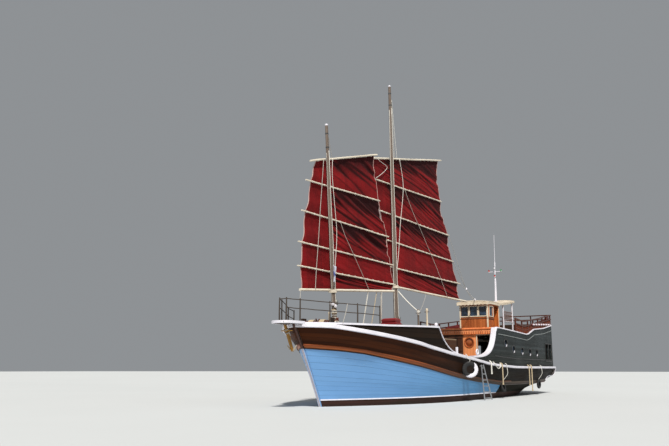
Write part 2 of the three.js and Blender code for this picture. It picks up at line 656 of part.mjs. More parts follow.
const upperDeck = () => planPrism(castleAt.bulkhead - bulkhead.thick - 1, castleAt.aft - 5,
  castleAt.wall + gap - castleAt.set, castleAt.deckZ - castleAt.deckBoard, castleAt.deckZ);

function transom() {
  const low = sheerZ(transomAt.x) - 40;
  const y = sheerY(transomAt.x) - transomAt.inset;
  const wide = y + transomAt.flare;
  const outline = [[-y, low], [y, low], [wide, transomAt.cornerZ], [y / 2, transomAt.crownZ],
    [-y / 2, transomAt.crownZ], [-wide, transomAt.cornerZ]];
  const aft = castleAt.aft - 6 - transomAt.thick;
  const panel = plate(outline, aft, aft + transomAt.thick, "yz");
  const windows = transomAt.windows.map((at) => box(aft - 200, aft + 300, at - transomAt.windowHalf,
    at + transomAt.windowHalf, transomAt.windowLow, transomAt.windowHigh));
  return seated(cut(panel, windows), hullBody);
}

// A door leaf with two knuckles on its hinge line.
function leaf({ x, y, along, across, low, high }) {
  const foots = [low + knuckle.low, high - knuckle.high];
  const radius = knuckle.radius - gap;
  const board = along
    ? box(x - along, x - 15, y - leafHalf.along, y + leafHalf.along, low, high)
    : box(x - across, x + across, y - leafWide, y - 15, low, high);
  const straps = foots.map((z) => (along
    ? box(x - 60, x, y - 12, y + 12, z, z + knuckle.tall)
    : box(x - 12, x + 12, y - 60, y, z, z + knuckle.tall)));
  const knuckles = foots.map((z) => rod(v3(x, y, z), v3(x, y, z + knuckle.tall), radius, radius, 12));
  return join([board, ...knuckles, ...straps]);
}

// The rails round the castle's deck: one half runs along a side and across the stern to the middle.
function poopRailing(side) {
  const topZ = (x) => between(poop.run, x);
  const middle = castleAt.set - castleAt.wall / 2;
  const halfRail = poop.rail / 2;
  const cornerY = sheerY(poop.aft) + middle + 30;
  const parts = poop.drops.flatMap((drop) => [
    sidePiece(side, poop.fore, poop.aft, middle + halfRail, poop.rail,
      (x) => topZ(x) - drop - poop.railTall, (x) => topZ(x) - drop, 820),
    box(poop.outer, poop.aft, side * gap, side * cornerY, topZ(poop.aft) - drop - poop.railTall,
      topZ(poop.aft) - drop),
  ]);
  for (let i = 0; i < poop.posts; i++) {
    const x = poop.fore - 40 - i * poop.postStep;
    const y = side * (sheerY(x) + middle);
    parts.push(box(x - poop.postHalf, x + poop.postHalf, y - poop.postHalf, y + poop.postHalf,
      castleTop(x) - 60, topZ(x) - 10));
  }
  for (const y of poop.aftPosts) {
    parts.push(box(poop.outer + 5, poop.aftPostX, side * (y - 32), side * (y + 32), poop.aftFoot,
      topZ(poop.aft) - 10));
  }
  return seated(join(parts), castleSide(side), transom());
}

// Wheelhouse

const houseFloor = castleAt.deckZ + gap;

function houseFront() {
  const panel = box(house.front - house.wall, house.front, -house.half, house.half, houseFloor, house.eave);
  return cut(panel, house.frontWindows.map((y) => box(house.front - 200, house.front + 100,
    y - house.frontHalf, y + house.frontHalf, house.windowLow, house.windowHigh)));
}

function houseSide(side) {
  const inner = side * (house.half - house.wall);
  const outer = side * house.half;
  const panel = box(house.back, house.front - house.wall - gap, inner, outer, houseFloor, house.eave);
  const opening = ([aft, fore], low, high) => box(aft, fore, inner - side * 50, outer + side * 50, low, high);
  const { door } = house;
  const second = side > 0
    ? opening([door.aft, door.fore], castleAt.deckZ + door.sill, door.top)
    : opening(house.aftWindow, house.windowLow, house.windowHigh);
  return cut(panel, [opening(house.sideWindow, house.windowLow, house.windowHigh), second]);
}

function houseBack() {
  const y = house.half - house.wall - gap;
  const panel = box(house.back, house.back + house.wall, -y, y, houseFloor, house.eave);
  return cut(panel, [box(house.back - 100, house.back + 100, -house.backHalf, house.backHalf,
    house.windowLow, house.windowHigh)]);
}

// A ridged roof that sweeps up over the awning frames.
function houseRoof() {
  const { half, thick, crown } = roof;
  return loft(roof.run.map(([x, z]) => {
    const base = x > house.back - house.wall ? house.eave + gap : z;
    return [v3(x, half, z + thick), v3(x, half, base), v3(x, -half, base), v3(x, -half, z + thick),
      v3(x, 0, z + thick + crown)];
  }));
}

function awningFrame(side) {
  const y = side * awning.y;
  const posts = awning.posts.map((x) => {
    const under = between(roof.run, x + awning.radius) - gap;
    return rod(v3(x, y, houseFloor), v3(x, y, under), awning.radius, awning.radius, 10);
  });
  const [fore, aft] = awning.posts;
  return join([...posts, rod(v3(fore, y, awning.railZ), v3(aft, y, awning.railZ), awning.rail,
    awning.rail, 8)]);
}

const helmZ = castleAt.deckZ + helm.up;

function helmStand() {
  const post = box(helm.x + 60, helm.x + 230, -150, 150, houseFloor, castleAt.deckZ + helm.standTop);
  const boss = rod(v3(helm.x + 40, 0, helmZ), v3(helm.x + 80, 0, helmZ), 60, 60, 12);
  return cut(join([post, boss]), [bore(v3(helm.x, 0, helmZ), v3(helm.x + 180, 0, helmZ), helm.axle)]);
}

function helmWheel() {
  const mid = v3(helm.x, 0, helmZ);
  const ring = new THREE.TorusGeometry(helm.radius, helm.tube, 6, 18).rotateY(Math.PI / 2)
    .translate(mid.x, mid.y, mid.z);
  const hub = rod(v3(helm.x - 40, 0, helmZ), v3(helm.x + 34, 0, helmZ), helm.hub, helm.hub, 12);
  const axle = shaft(v3(helm.x - 10, 0, helmZ), v3(helm.x + 170, 0, helmZ), helm.axle);
  const spokes = [0, 60, 120].map((deg) => {
    const arm = v3(0, Math.cos(radians(deg)), Math.sin(radians(deg))).multiplyScalar(helm.radius + helm.grip);
    return rod(mid.clone().sub(arm), mid.clone().add(arm), helm.spoke, helm.spoke, 6);
  });
  return join([ring, hub, axle, ...spokes]);
}

// Signal pole with a lamp arm and an aerial, seated on the roof.
function signalPole() {
  const base = box(pole.x - pole.baseHalf, pole.x + pole.baseHalf, -pole.baseHalf, pole.baseHalf,
    pole.foot, pole.baseTop);
  const mastPole = rod(v3(pole.x, 0, pole.foot + 20), v3(pole.topX, 0, pole.top), pole.radius,
    pole.topRadius, 10);
  const armX = pole.topX + 10;
  const arm = rod(v3(armX, -pole.armHalf, pole.armZ), v3(armX, pole.armHalf, pole.armZ),
    pole.armRadius, pole.armRadius, 8);
  const aerial = rod(v3(pole.topX, 0, pole.top - 100), v3(pole.aerialX, 0, pole.aerialTop),
    pole.aerialRadius, pole.aerialTip, 6);
  return seated(join([mastPole, base, arm, aerial]), houseRoof());
}

// Steering, drive and gear along the side

function rudder() {
  const blade = plate(rudderAt.outline.map(([x, z]) => [rudderAt.x + x, z]), -rudderAt.half, rudderAt.half);
  const stock = shaft(v3(rudderAt.x, 0, keelBar.top + 10), v3(rudderAt.x, 0, rudderAt.top), rudderAt.stock);
  return join([blade, stock]);
}

function propeller() {
  const hub = rod(v3(screw.x - screw.hubHalf, 0, screw.z), v3(screw.x + screw.hubHalf, 0, screw.z),
    screw.hubAft, screw.hub, 12);
  const drive = shaft(v3(screw.x, 0, screw.z), v3(screw.x + screw.shaftFore, 0, screw.z), screw.shaft);
  const blades = [0, 120, 240].map((deg) => box(-25, 25, -screw.chord, screw.chord, 20, screw.blade)
    .rotateZ(radians(screw.pitch)).rotateX(radians(deg)).translate(screw.x, 0, screw.z));
  return join([hub, drive, ...blades]);
}

const engineBlock = () =>
  box(engine.aft, engine.fore, -engine.half, engine.half, engine.low + gap, engine.high);

const clearOfSide = (piece) => cut(piece, [hullBody.clone().translate(0, gap, 0)]);

// A tyre hung on the port side; one that is turned touches the planking with its forward edge.
function fender({ x, z, radius, thick, lean, turn }) {
  const half = thick / 2;
  const reach = radius - half;
  const section = Array.from({ length: 9 }, (_, i) => {
    const a = radians((i % 8) * 45);
    return new THREE.Vector2(reach + half * Math.cos(a), half * Math.sin(a));
  });
  const [slope, swing] = [radians(lean), radians(turn)];
  const fall = Math.tan(slope) * reach;
  const touch = x + reach * Math.cos(swing);
  const skin = turn
    ? bodyY(touch, z) + reach * Math.sin(swing)
    : Math.max(bodyY(x, z + reach) - fall, bodyY(x, z - reach) + fall);
  return clearOfSide(new THREE.LatheGeometry(section, 20).rotateX(-slope).rotateZ(-swing)
    .translate(x, skin + half / Math.cos(slope) - 2, z));
}

// A hung ladder that splays towards its foot.
function ladder() {
  const { fore, aft, top, low, rail, rung } = ladderAt;
  const skin = bodyY(aft[0], top) + ladderAt.off;
  const at = ([head, foot], z) => {
    const share = (top - z) / (top - low);
    return v3(head + (foot - head) * share, skin + (top - z) * ladderAt.flare, z);
  };
  const rails = [aft, fore].map((side) => rod(at(side, top), at(side, low), rail, rail, 6));
  const rungs = Array.from({ length: ladderAt.rungs }, (_, i) => {
    const z = top - 150 - i * ladderAt.step;
    return rod(at(aft, z), at(fore, z), rung, rung, 6);
  });
  const pads = [aft, fore].map(([x]) => box(x - 25, x + 25, skin - 200, skin, top - 75, top - 25));
  return clearOfSide(join([...rails, ...rungs, ...pads]));
}

// Assembly

const hullBody = hull();
const junk = new THREE.Group();

function add(name, geometry, finish, group = junk) {
  const mesh = new THREE.Mesh(geometry, new THREE.MeshStandardMaterial(finishes[finish]));
  mesh.name = name;
  group.add(mesh);
}

function addRig(rig) {
  const upright = new THREE.Group();
  upright.position.x = rig.mastX;
  upright.rotation.y = radians(rig.rake);
  const swung = new THREE.Group();
  swung.rotation.z = radians(rig.yaw);
  upright.add(swung);
  junk.add(upright);
  add(`${rig.name}mast`, mast(rig), "mast");
  for (const row of rig.spars) add(`${rig.name}_${row.name}`, spar(rig, row), "spar", swung);
  add(`${rig.name}_sail`, sailCloth(rig), "sail", swung);
}

add("hull", hullBody, "blue");
add("keel", keel(), "varnish");
add("stem_post", stemPost(), "white");
add("foredeck", foredeck(), "deck");
add("fore_hatch", foreHatch(), "varnish");
add("main_deck", mainDeck(), "deck");
add("cap_rail", capRail(), "white");
add("bow_platform", bowPlatform(), "white");
add("bow_railing", bowRailing(), "varnish");
add("wooden_anchor", woodenAnchor(), "spar");
add("windlass_frame", windlassFrame(), "varnish");
add("windlass_drum", windlassDrum(), "mast");
add("deck_bench", deckBench(), "varnish");
add("bench_cushion", benchCushion(), "sail");
for (const [word, side] of [["port", 1], ["starboard", -1]]) {
  add(`bulwark_${word}`, bulwark(side), "varnish");
  add(`bollard_${word}`, bollard(side), "white");
  add(`castle_side_${word}`, castleSide(side), "slate");
  add(`poop_railing_${word}`, poopRailing(side), "varnish");
  add(`wheelhouse_${word}`, houseSide(side), "orange");
  add(`awning_frame_${word}`, awningFrame(side), "white");
}
addRig(foreRig);
addRig(mainRig);
add("front_bulkhead", frontBulkhead(), "orange");
add("cabin_door", leaf(cabinLeaf), "orange");
add("upper_deck", upperDeck(), "deck");
add("transom", transom(), "slate");
add("wheelhouse_front", houseFront(), "orange");
add("wheelhouse_back", houseBack(), "orange");
add("wheelhouse_roof", houseRoof(), "spar");
add("wheelhouse_door", leaf(houseLeaf), "orange");
add("helm_stand", helmStand(), "varnish");
add("helm", helmWheel(), "varnish");
add("signal_pole", signalPole(), "white");
add("rudder", rudder(), "varnish");
add("propeller", propeller(), "bronze");
add("engine", engineBlock(), "iron");
for (const row of fenders) add(row.name, fender(row), "rubber");
add("boarding_ladder", ladder(), "white");

export default junk;
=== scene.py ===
import math
import random
from itertools import product

import bmesh
import bpy
from mathutils import Matrix, Vector, noise


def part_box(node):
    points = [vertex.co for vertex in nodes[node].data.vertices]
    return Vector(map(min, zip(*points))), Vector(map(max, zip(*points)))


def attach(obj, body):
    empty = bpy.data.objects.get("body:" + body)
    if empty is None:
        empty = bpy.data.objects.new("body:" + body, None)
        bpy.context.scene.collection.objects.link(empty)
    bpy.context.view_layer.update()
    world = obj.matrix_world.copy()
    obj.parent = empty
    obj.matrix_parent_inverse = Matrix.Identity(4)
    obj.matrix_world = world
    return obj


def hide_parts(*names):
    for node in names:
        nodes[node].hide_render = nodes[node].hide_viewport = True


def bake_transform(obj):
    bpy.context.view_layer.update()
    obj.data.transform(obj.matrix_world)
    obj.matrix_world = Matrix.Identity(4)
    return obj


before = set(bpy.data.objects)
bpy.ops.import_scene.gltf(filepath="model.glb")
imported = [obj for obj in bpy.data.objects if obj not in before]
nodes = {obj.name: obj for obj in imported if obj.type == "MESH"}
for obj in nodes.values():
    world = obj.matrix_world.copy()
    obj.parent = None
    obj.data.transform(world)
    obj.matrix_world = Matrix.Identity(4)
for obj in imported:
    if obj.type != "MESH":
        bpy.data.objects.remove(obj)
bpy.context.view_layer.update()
random.seed(7)
print("frame loaded:", len(nodes), "nodes")

def put(thing):
    bpy.context.scene.collection.objects.link(thing)


# camera, fitted on points of the photograph
view = {"place": (35.52, 16.92, 1.45), "tilt": 101.02, "heading": 123.0, "lens": 40.36}
cameraData = bpy.data.cameras.new("camera")
cameraData.lens = view["lens"]
cameraData.sensor_width = 36
cameraData.clip_end = 500
camera = bpy.data.objects.new("camera", cameraData)
camera.location = view["place"]
camera.rotation_euler = (math.radians(view["tilt"]), 0, math.radians(view["heading"]))
put(camera)
bpy.context.scene.camera = camera


def addSun(name, energy, colour, softness, toward):
    data = bpy.data.lights.new(name, "SUN")
    data.energy = energy
    data.color = colour
    data.angle = math.radians(softness)
    lamp = bpy.data.objects.new(name, data)
    lamp.rotation_euler = Vector(toward).to_track_quat("-Z", "Y").to_euler()
    put(lamp)


# key from high over the bow, a weak fill from the port quarter, an even pale sky
addSun("key", 4.5, (1, 0.96, 0.89), 4, (-0.50, -0.37, -0.78))
addSun("fill", 0.18, (0.85, 0.92, 1), 60, (0.25, -0.85, -0.35))
world = bpy.data.worlds.new("studio")
world.use_nodes = True
world.node_tree.nodes["Background"].inputs["Color"].default_value = (0.80, 0.84, 0.88, 1)
world.node_tree.nodes["Background"].inputs["Strength"].default_value = 0.34
bpy.context.scene.world = world
bpy.context.scene.view_settings.view_transform = "Standard"
print("camera and light set")


# materials: a few small helpers, then one function for each kind of finish
def newMaterial(name, roughness=0.5, metallic=0.0, **sockets):
    made = bpy.data.materials.new(name)
    made.use_nodes = True
    shader = made.node_tree.nodes["Principled BSDF"]
    shader.inputs["Roughness"].default_value = roughness
    shader.inputs["Metallic"].default_value = metallic
    for key, value in sockets.items():
        shader.inputs[key.replace("_", " ")].default_value = value
    return made, made.node_tree, shader


def addNode(tree, kind, inputs=(), **settings):
    made = tree.nodes.new("ShaderNode" + kind)
    for key, value in settings.items():
        setattr(made, key, value)
    for key, value in dict(inputs).items():
        if isinstance(value, bpy.types.NodeSocket):
            tree.links.new(value, made.inputs[key])
        else:
            made.inputs[key].default_value = value
    return made


def treeOf(*values):
    return next(value.id_data for value in values if isinstance(value, bpy.types.NodeSocket))


def feed(shader, **parts):
    for key, value in parts.items():
        shader.id_data.links.new(value, shader.inputs[key.replace("_", " ")])


def sums(operation, a, b=0.0):
    return addNode(treeOf(a, b), "Math", {0: a, 1: b}, operation=operation).outputs[0]


def plus(a, b):
    return sums("ADD", a, b)


def times(a, b):
    return sums("MULTIPLY", a, b)


def onlySeams(spot, low, high):
    # 0 in a seam and 1 on the board or cloth between two of them
    inside = sums("FRACT", spot)
    edge = sums("MINIMUM", inside, sums("SUBTRACT", 1.0, inside))
    return spread(edge, low, high)


def mixColour(share, a, b, blend="MIX"):
    a, b = ((*colour, 1) if isinstance(colour, tuple) else colour for colour in (a, b))
    return addNode(treeOf(share, a, b), "Mix", {0: share, 6: a, 7: b}, data_type="RGBA", blend_type=blend).outputs[2]


def ramp(value, stops):
    made = addNode(treeOf(value), "ValToRGB", {0: value})
    row = made.color_ramp.elements
    while len(row) < len(stops):
        row.new(0.5)
    for spot, (at, colour) in zip(row, stops):
        spot.position = at
        spot.color = (*colour, 1)
    return made.outputs[0]


def spread(value, low, high, toLow=0.0, toHigh=1.0):
    limits = {0: value, 1: low, 2: high, 3: toLow, 4: toHigh}
    return addNode(treeOf(value), "MapRange", limits, interpolation_type="SMOOTHSTEP").outputs[0]


def placeOf(tree, source):
    # either the row frame, for carried-over nodes, or the grain lines that a made piece brings along
    if source == "row":
        return addNode(tree, "TexCoord").outputs["Object"]
    return addNode(tree, "Attribute", attribute_name=source).outputs["Vector"]


def stretched(place, scale):
    return addNode(treeOf(place), "Mapping", {"Vector": place, "Scale": scale}).outputs[0]


def noiseOf(place, scale, detail=4.0, roughness=0.55):
    made = addNode(treeOf(place), "TexNoise", {"Vector": place, "Scale": scale, "Detail": detail, "Roughness": roughness})
    return made.outputs[0]


def addBump(shader, height, distance, strength=1.0):
    feed(shader, Normal=addNode(treeOf(height), "Bump", {"Height": height, "Distance": distance, "Strength": strength}).outputs[0])


def timber(name, light, dark, look):
    # planks lie along look["along"], with seams every look["width"] across; grain, wear and dirt on top
    values = {"source": "row", "along": (1, 0, 0), "across": (0, 0, 1), "width": 0.16, "seam": 0.03, "gloss": 0.45,
              "tone": 0.35, "dirt": 0.35, "dirtColour": (0.05, 0.04, 0.03), "grain": 1.0, "depth": 0.006, "coat": 0.0,
              "chips": 0.0, "chipColour": (0.3, 0.22, 0.15), "aft": None, "low": None, "shine": 0.18,
              "flank": None, "starboard": None}
    values.update(look)
    made, tree, shader = newMaterial(name, values["gloss"], Coat_Weight=values["coat"], Coat_Roughness=0.25,
                                     Specular_IOR_Level=values["shine"])
    place = placeOf(tree, values["source"])
    along, across = Vector(values["along"]), Vector(values["across"])
    third = along.cross(across)
    t = addNode(tree, "VectorMath", {0: place, 1: tuple(across / values["width"])}, operation="DOT_PRODUCT").outputs["Value"]
    board = sums("FLOOR", t)
    seam = onlySeams(t, values["seam"] * 0.25, values["seam"])
    boardTone = addNode(tree, "TexWhiteNoise", {"W": board}, noise_dimensions="1D").outputs[0]
    scale = tuple(abs(along[i]) * 0.6 + abs(across[i]) * 22 + abs(third[i]) * 22 for i in range(3))
    shifted = addNode(tree, "VectorMath", {0: stretched(place, scale),
                      1: addNode(tree, "CombineXYZ", {0: times(board, 7.3)}).outputs[0]}, operation="ADD").outputs[0]
    grain = noiseOf(shifted, 1.0 * values["grain"], 6.0, 0.6)
    cloud = noiseOf(place, 0.45, 5.0, 0.6)
    fine = noiseOf(place, 9.0, 4.0, 0.65)
    mixed = plus(times(grain, 0.62), times(boardTone, values["tone"]))
    colour = ramp(mixed, [(0.22, dark), (0.72, light)])
    if values["chips"]:
        chip = spread(plus(fine, times(cloud, 0.35)), 0.86 - values["chips"], 0.9 - values["chips"])
        colour = mixColour(chip, colour, values["chipColour"])
    for key, axis in (("aft", 0), ("flank", 1), ("starboard", 1), ("low", 2)):
        # another tone that sets in gradually along the hull, across it or with height; the starboard tone is a painted
        # shadow, darker towards starboard where the sail's shade falls
        if values[key]:
            start, stop, tone = values[key]
            spot = addNode(tree, "SeparateXYZ", {0: place}).outputs[axis]
            spot = sums("ABSOLUTE", spot) if key == "flank" else spot
            spot = plus(spot, times(cloud, (stop - start) * 0.3))
            colour = mixColour(spread(spot, start, stop), colour, tone, "MULTIPLY")
    grime = times(spread(cloud, 0.42, 0.72), values["dirt"])
    colour = mixColour(grime, colour, values["dirtColour"])
    darkSeam = times(sums("SUBTRACT", 1.0, seam), 0.75)
    colour = mixColour(darkSeam, colour, tuple(c * 0.25 for c in dark))
    rough = plus(grain, times(cloud, 0.5))
    feed(shader, Base_Color=colour,
         Roughness=spread(rough, 0.4, 1.1, values["gloss"] * 0.7, min(1.0, values["gloss"] * 1.5)))
    height = plus(seam, times(grain, 0.16))
    addBump(shader, height, values["depth"])
    return made


def worn(name, colour, second, look):
    # paint or plain stuff with no planks in it: clouds, specks and a little relief
    values = {"source": "row", "gloss": 0.5, "metallic": 0.0, "size": 1.6, "speck": 14.0, "dirt": 0.3,
              "dirtColour": (0.16, 0.13, 0.10), "depth": 0.002, "coat": 0.0}
    values.update(look)
    made, tree, shader = newMaterial(name, values["gloss"], values["metallic"], Coat_Weight=values["coat"])
    place = placeOf(tree, values["source"])
    cloud = noiseOf(place, values["size"], 5.0, 0.6)
    speck = noiseOf(place, values["speck"], 5.0, 0.7)
    base = ramp(plus(times(cloud, 0.6), times(speck, 0.4)), [(0.35, second), (0.62, colour)])
    grime = times(spread(plus(cloud, times(speck, 0.5)), 0.82, 1.02), values["dirt"])
    feed(shader, Base_Color=mixColour(grime, base, values["dirtColour"]),
         Roughness=spread(speck, 0.3, 0.7, values["gloss"] * 0.75, min(1.0, values["gloss"] * 1.35)))
    addBump(shader, speck, values["depth"])
    return made


def canvasCloth(name, light, dark, look):
    # woven cloth: sewn widths, faded streaks down the cloth, a soft sheen, and painted shade where the third cloth
    # value is low; cloth holds (width, height, a share that is 0 where the sails' painted shade or the pennant's stripe
    # goes)
    values = {"width": 0.92, "fade": (0.62, 0.10, 0.10), "stain": (0.045, 0.004, 0.006), "sheen": 0.25}
    values.update(look)
    made, tree, shader = newMaterial(name, 0.78, Sheen_Weight=values["sheen"], Sheen_Roughness=0.4, Specular_IOR_Level=0.12)
    place = placeOf(tree, "cloth")
    parts = addNode(tree, "SeparateXYZ", {0: place})
    wide, share = parts.outputs[0], parts.outputs[2]
    t = sums("DIVIDE", wide, values["width"])
    seam = onlySeams(t, 0.004, 0.02)
    widthTone = addNode(tree, "TexWhiteNoise", {"W": sums("FLOOR", t)}, noise_dimensions="1D").outputs[0]
    cloud = noiseOf(place, 0.7, 5.0, 0.6)
    streak = noiseOf(stretched(place, (5.0, 0.35, 1.0)), 1.0, 5.0, 0.6)
    weaveA = addNode(tree, "TexWave", {"Vector": place, "Scale": 60.0, "Distortion": 0.5}, bands_direction="X").outputs[1]
    weaveB = addNode(tree, "TexWave", {"Vector": place, "Scale": 60.0, "Distortion": 0.5}, bands_direction="Y").outputs[1]
    mixed = plus(times(cloud, 0.55), plus(times(streak, 0.35), times(widthTone, 0.12)))
    colour = ramp(mixed, [(0.30, dark), (0.68, light)])
    colour = mixColour(spread(streak, 0.58, 0.78, 0.0, 0.08), colour, values["fade"])
    # painted shade: the sails darken towards share 0, a painted shadow under the spars and in the folds; the pennant's
    # stripe and all seams take the same colour
    shadeAndStripeMask = plus(share, spread(cloud, 0.3, 0.7, -0.08, 0.08))
    colour = mixColour(spread(shadeAndStripeMask, 0.0, 0.9, 0.90, 0.0), colour, values["stain"])
    colour = mixColour(times(sums("SUBTRACT", 1.0, seam), 0.4), colour, values["stain"])
    feed(shader, Base_Color=colour, Roughness=spread(cloud, 0.3, 0.7, 0.7, 0.9))
    height = plus(times(plus(weaveA, weaveB), 0.2), times(seam, 0.8))
    addBump(shader, height, 0.003)
    return made


def ropeStuff(name, light, dark, pitch=0.12):
    # laid rope: three strands that wind round; grain holds (length, turn, radius)
    made, tree, shader = newMaterial(name, 0.85, Sheen_Weight=0.15)
    place = placeOf(tree, "grain")
    parts = addNode(tree, "SeparateXYZ", {0: place})
    turn = plus(sums("DIVIDE", parts.outputs[0], pitch), parts.outputs[1])
    strand = sums("ABSOLUTE", sums("SINE", times(turn, math.pi * 3)))
    fray = noiseOf(place, 6.0, 5.0, 0.7)
    mixed = plus(times(strand, 0.5), times(fray, 0.6))
    feed(shader, Base_Color=ramp(mixed, [(0.2, dark), (0.75, light)]), Roughness=spread(fray, 0.3, 0.7, 0.75, 0.95))
    addBump(shader, strand, 0.004)
    return made


def paneGlass(name, tint, glow):
    # old dark panes: slightly wavy, with dusty patches
    made, tree, shader = newMaterial(name, 0.06, Specular_IOR_Level=0.8)
    place = placeOf(tree, "row")
    wave = noiseOf(place, 3.2, 2.0, 0.4)
    dust = noiseOf(place, 18.0, 5.0, 0.7)
    feed(shader, Base_Color=ramp(wave, [(0.38, tint), (0.66, glow)]), Roughness=spread(dust, 0.4, 0.75, 0.04, 0.22))
    addBump(shader, wave, 0.01)
    return made


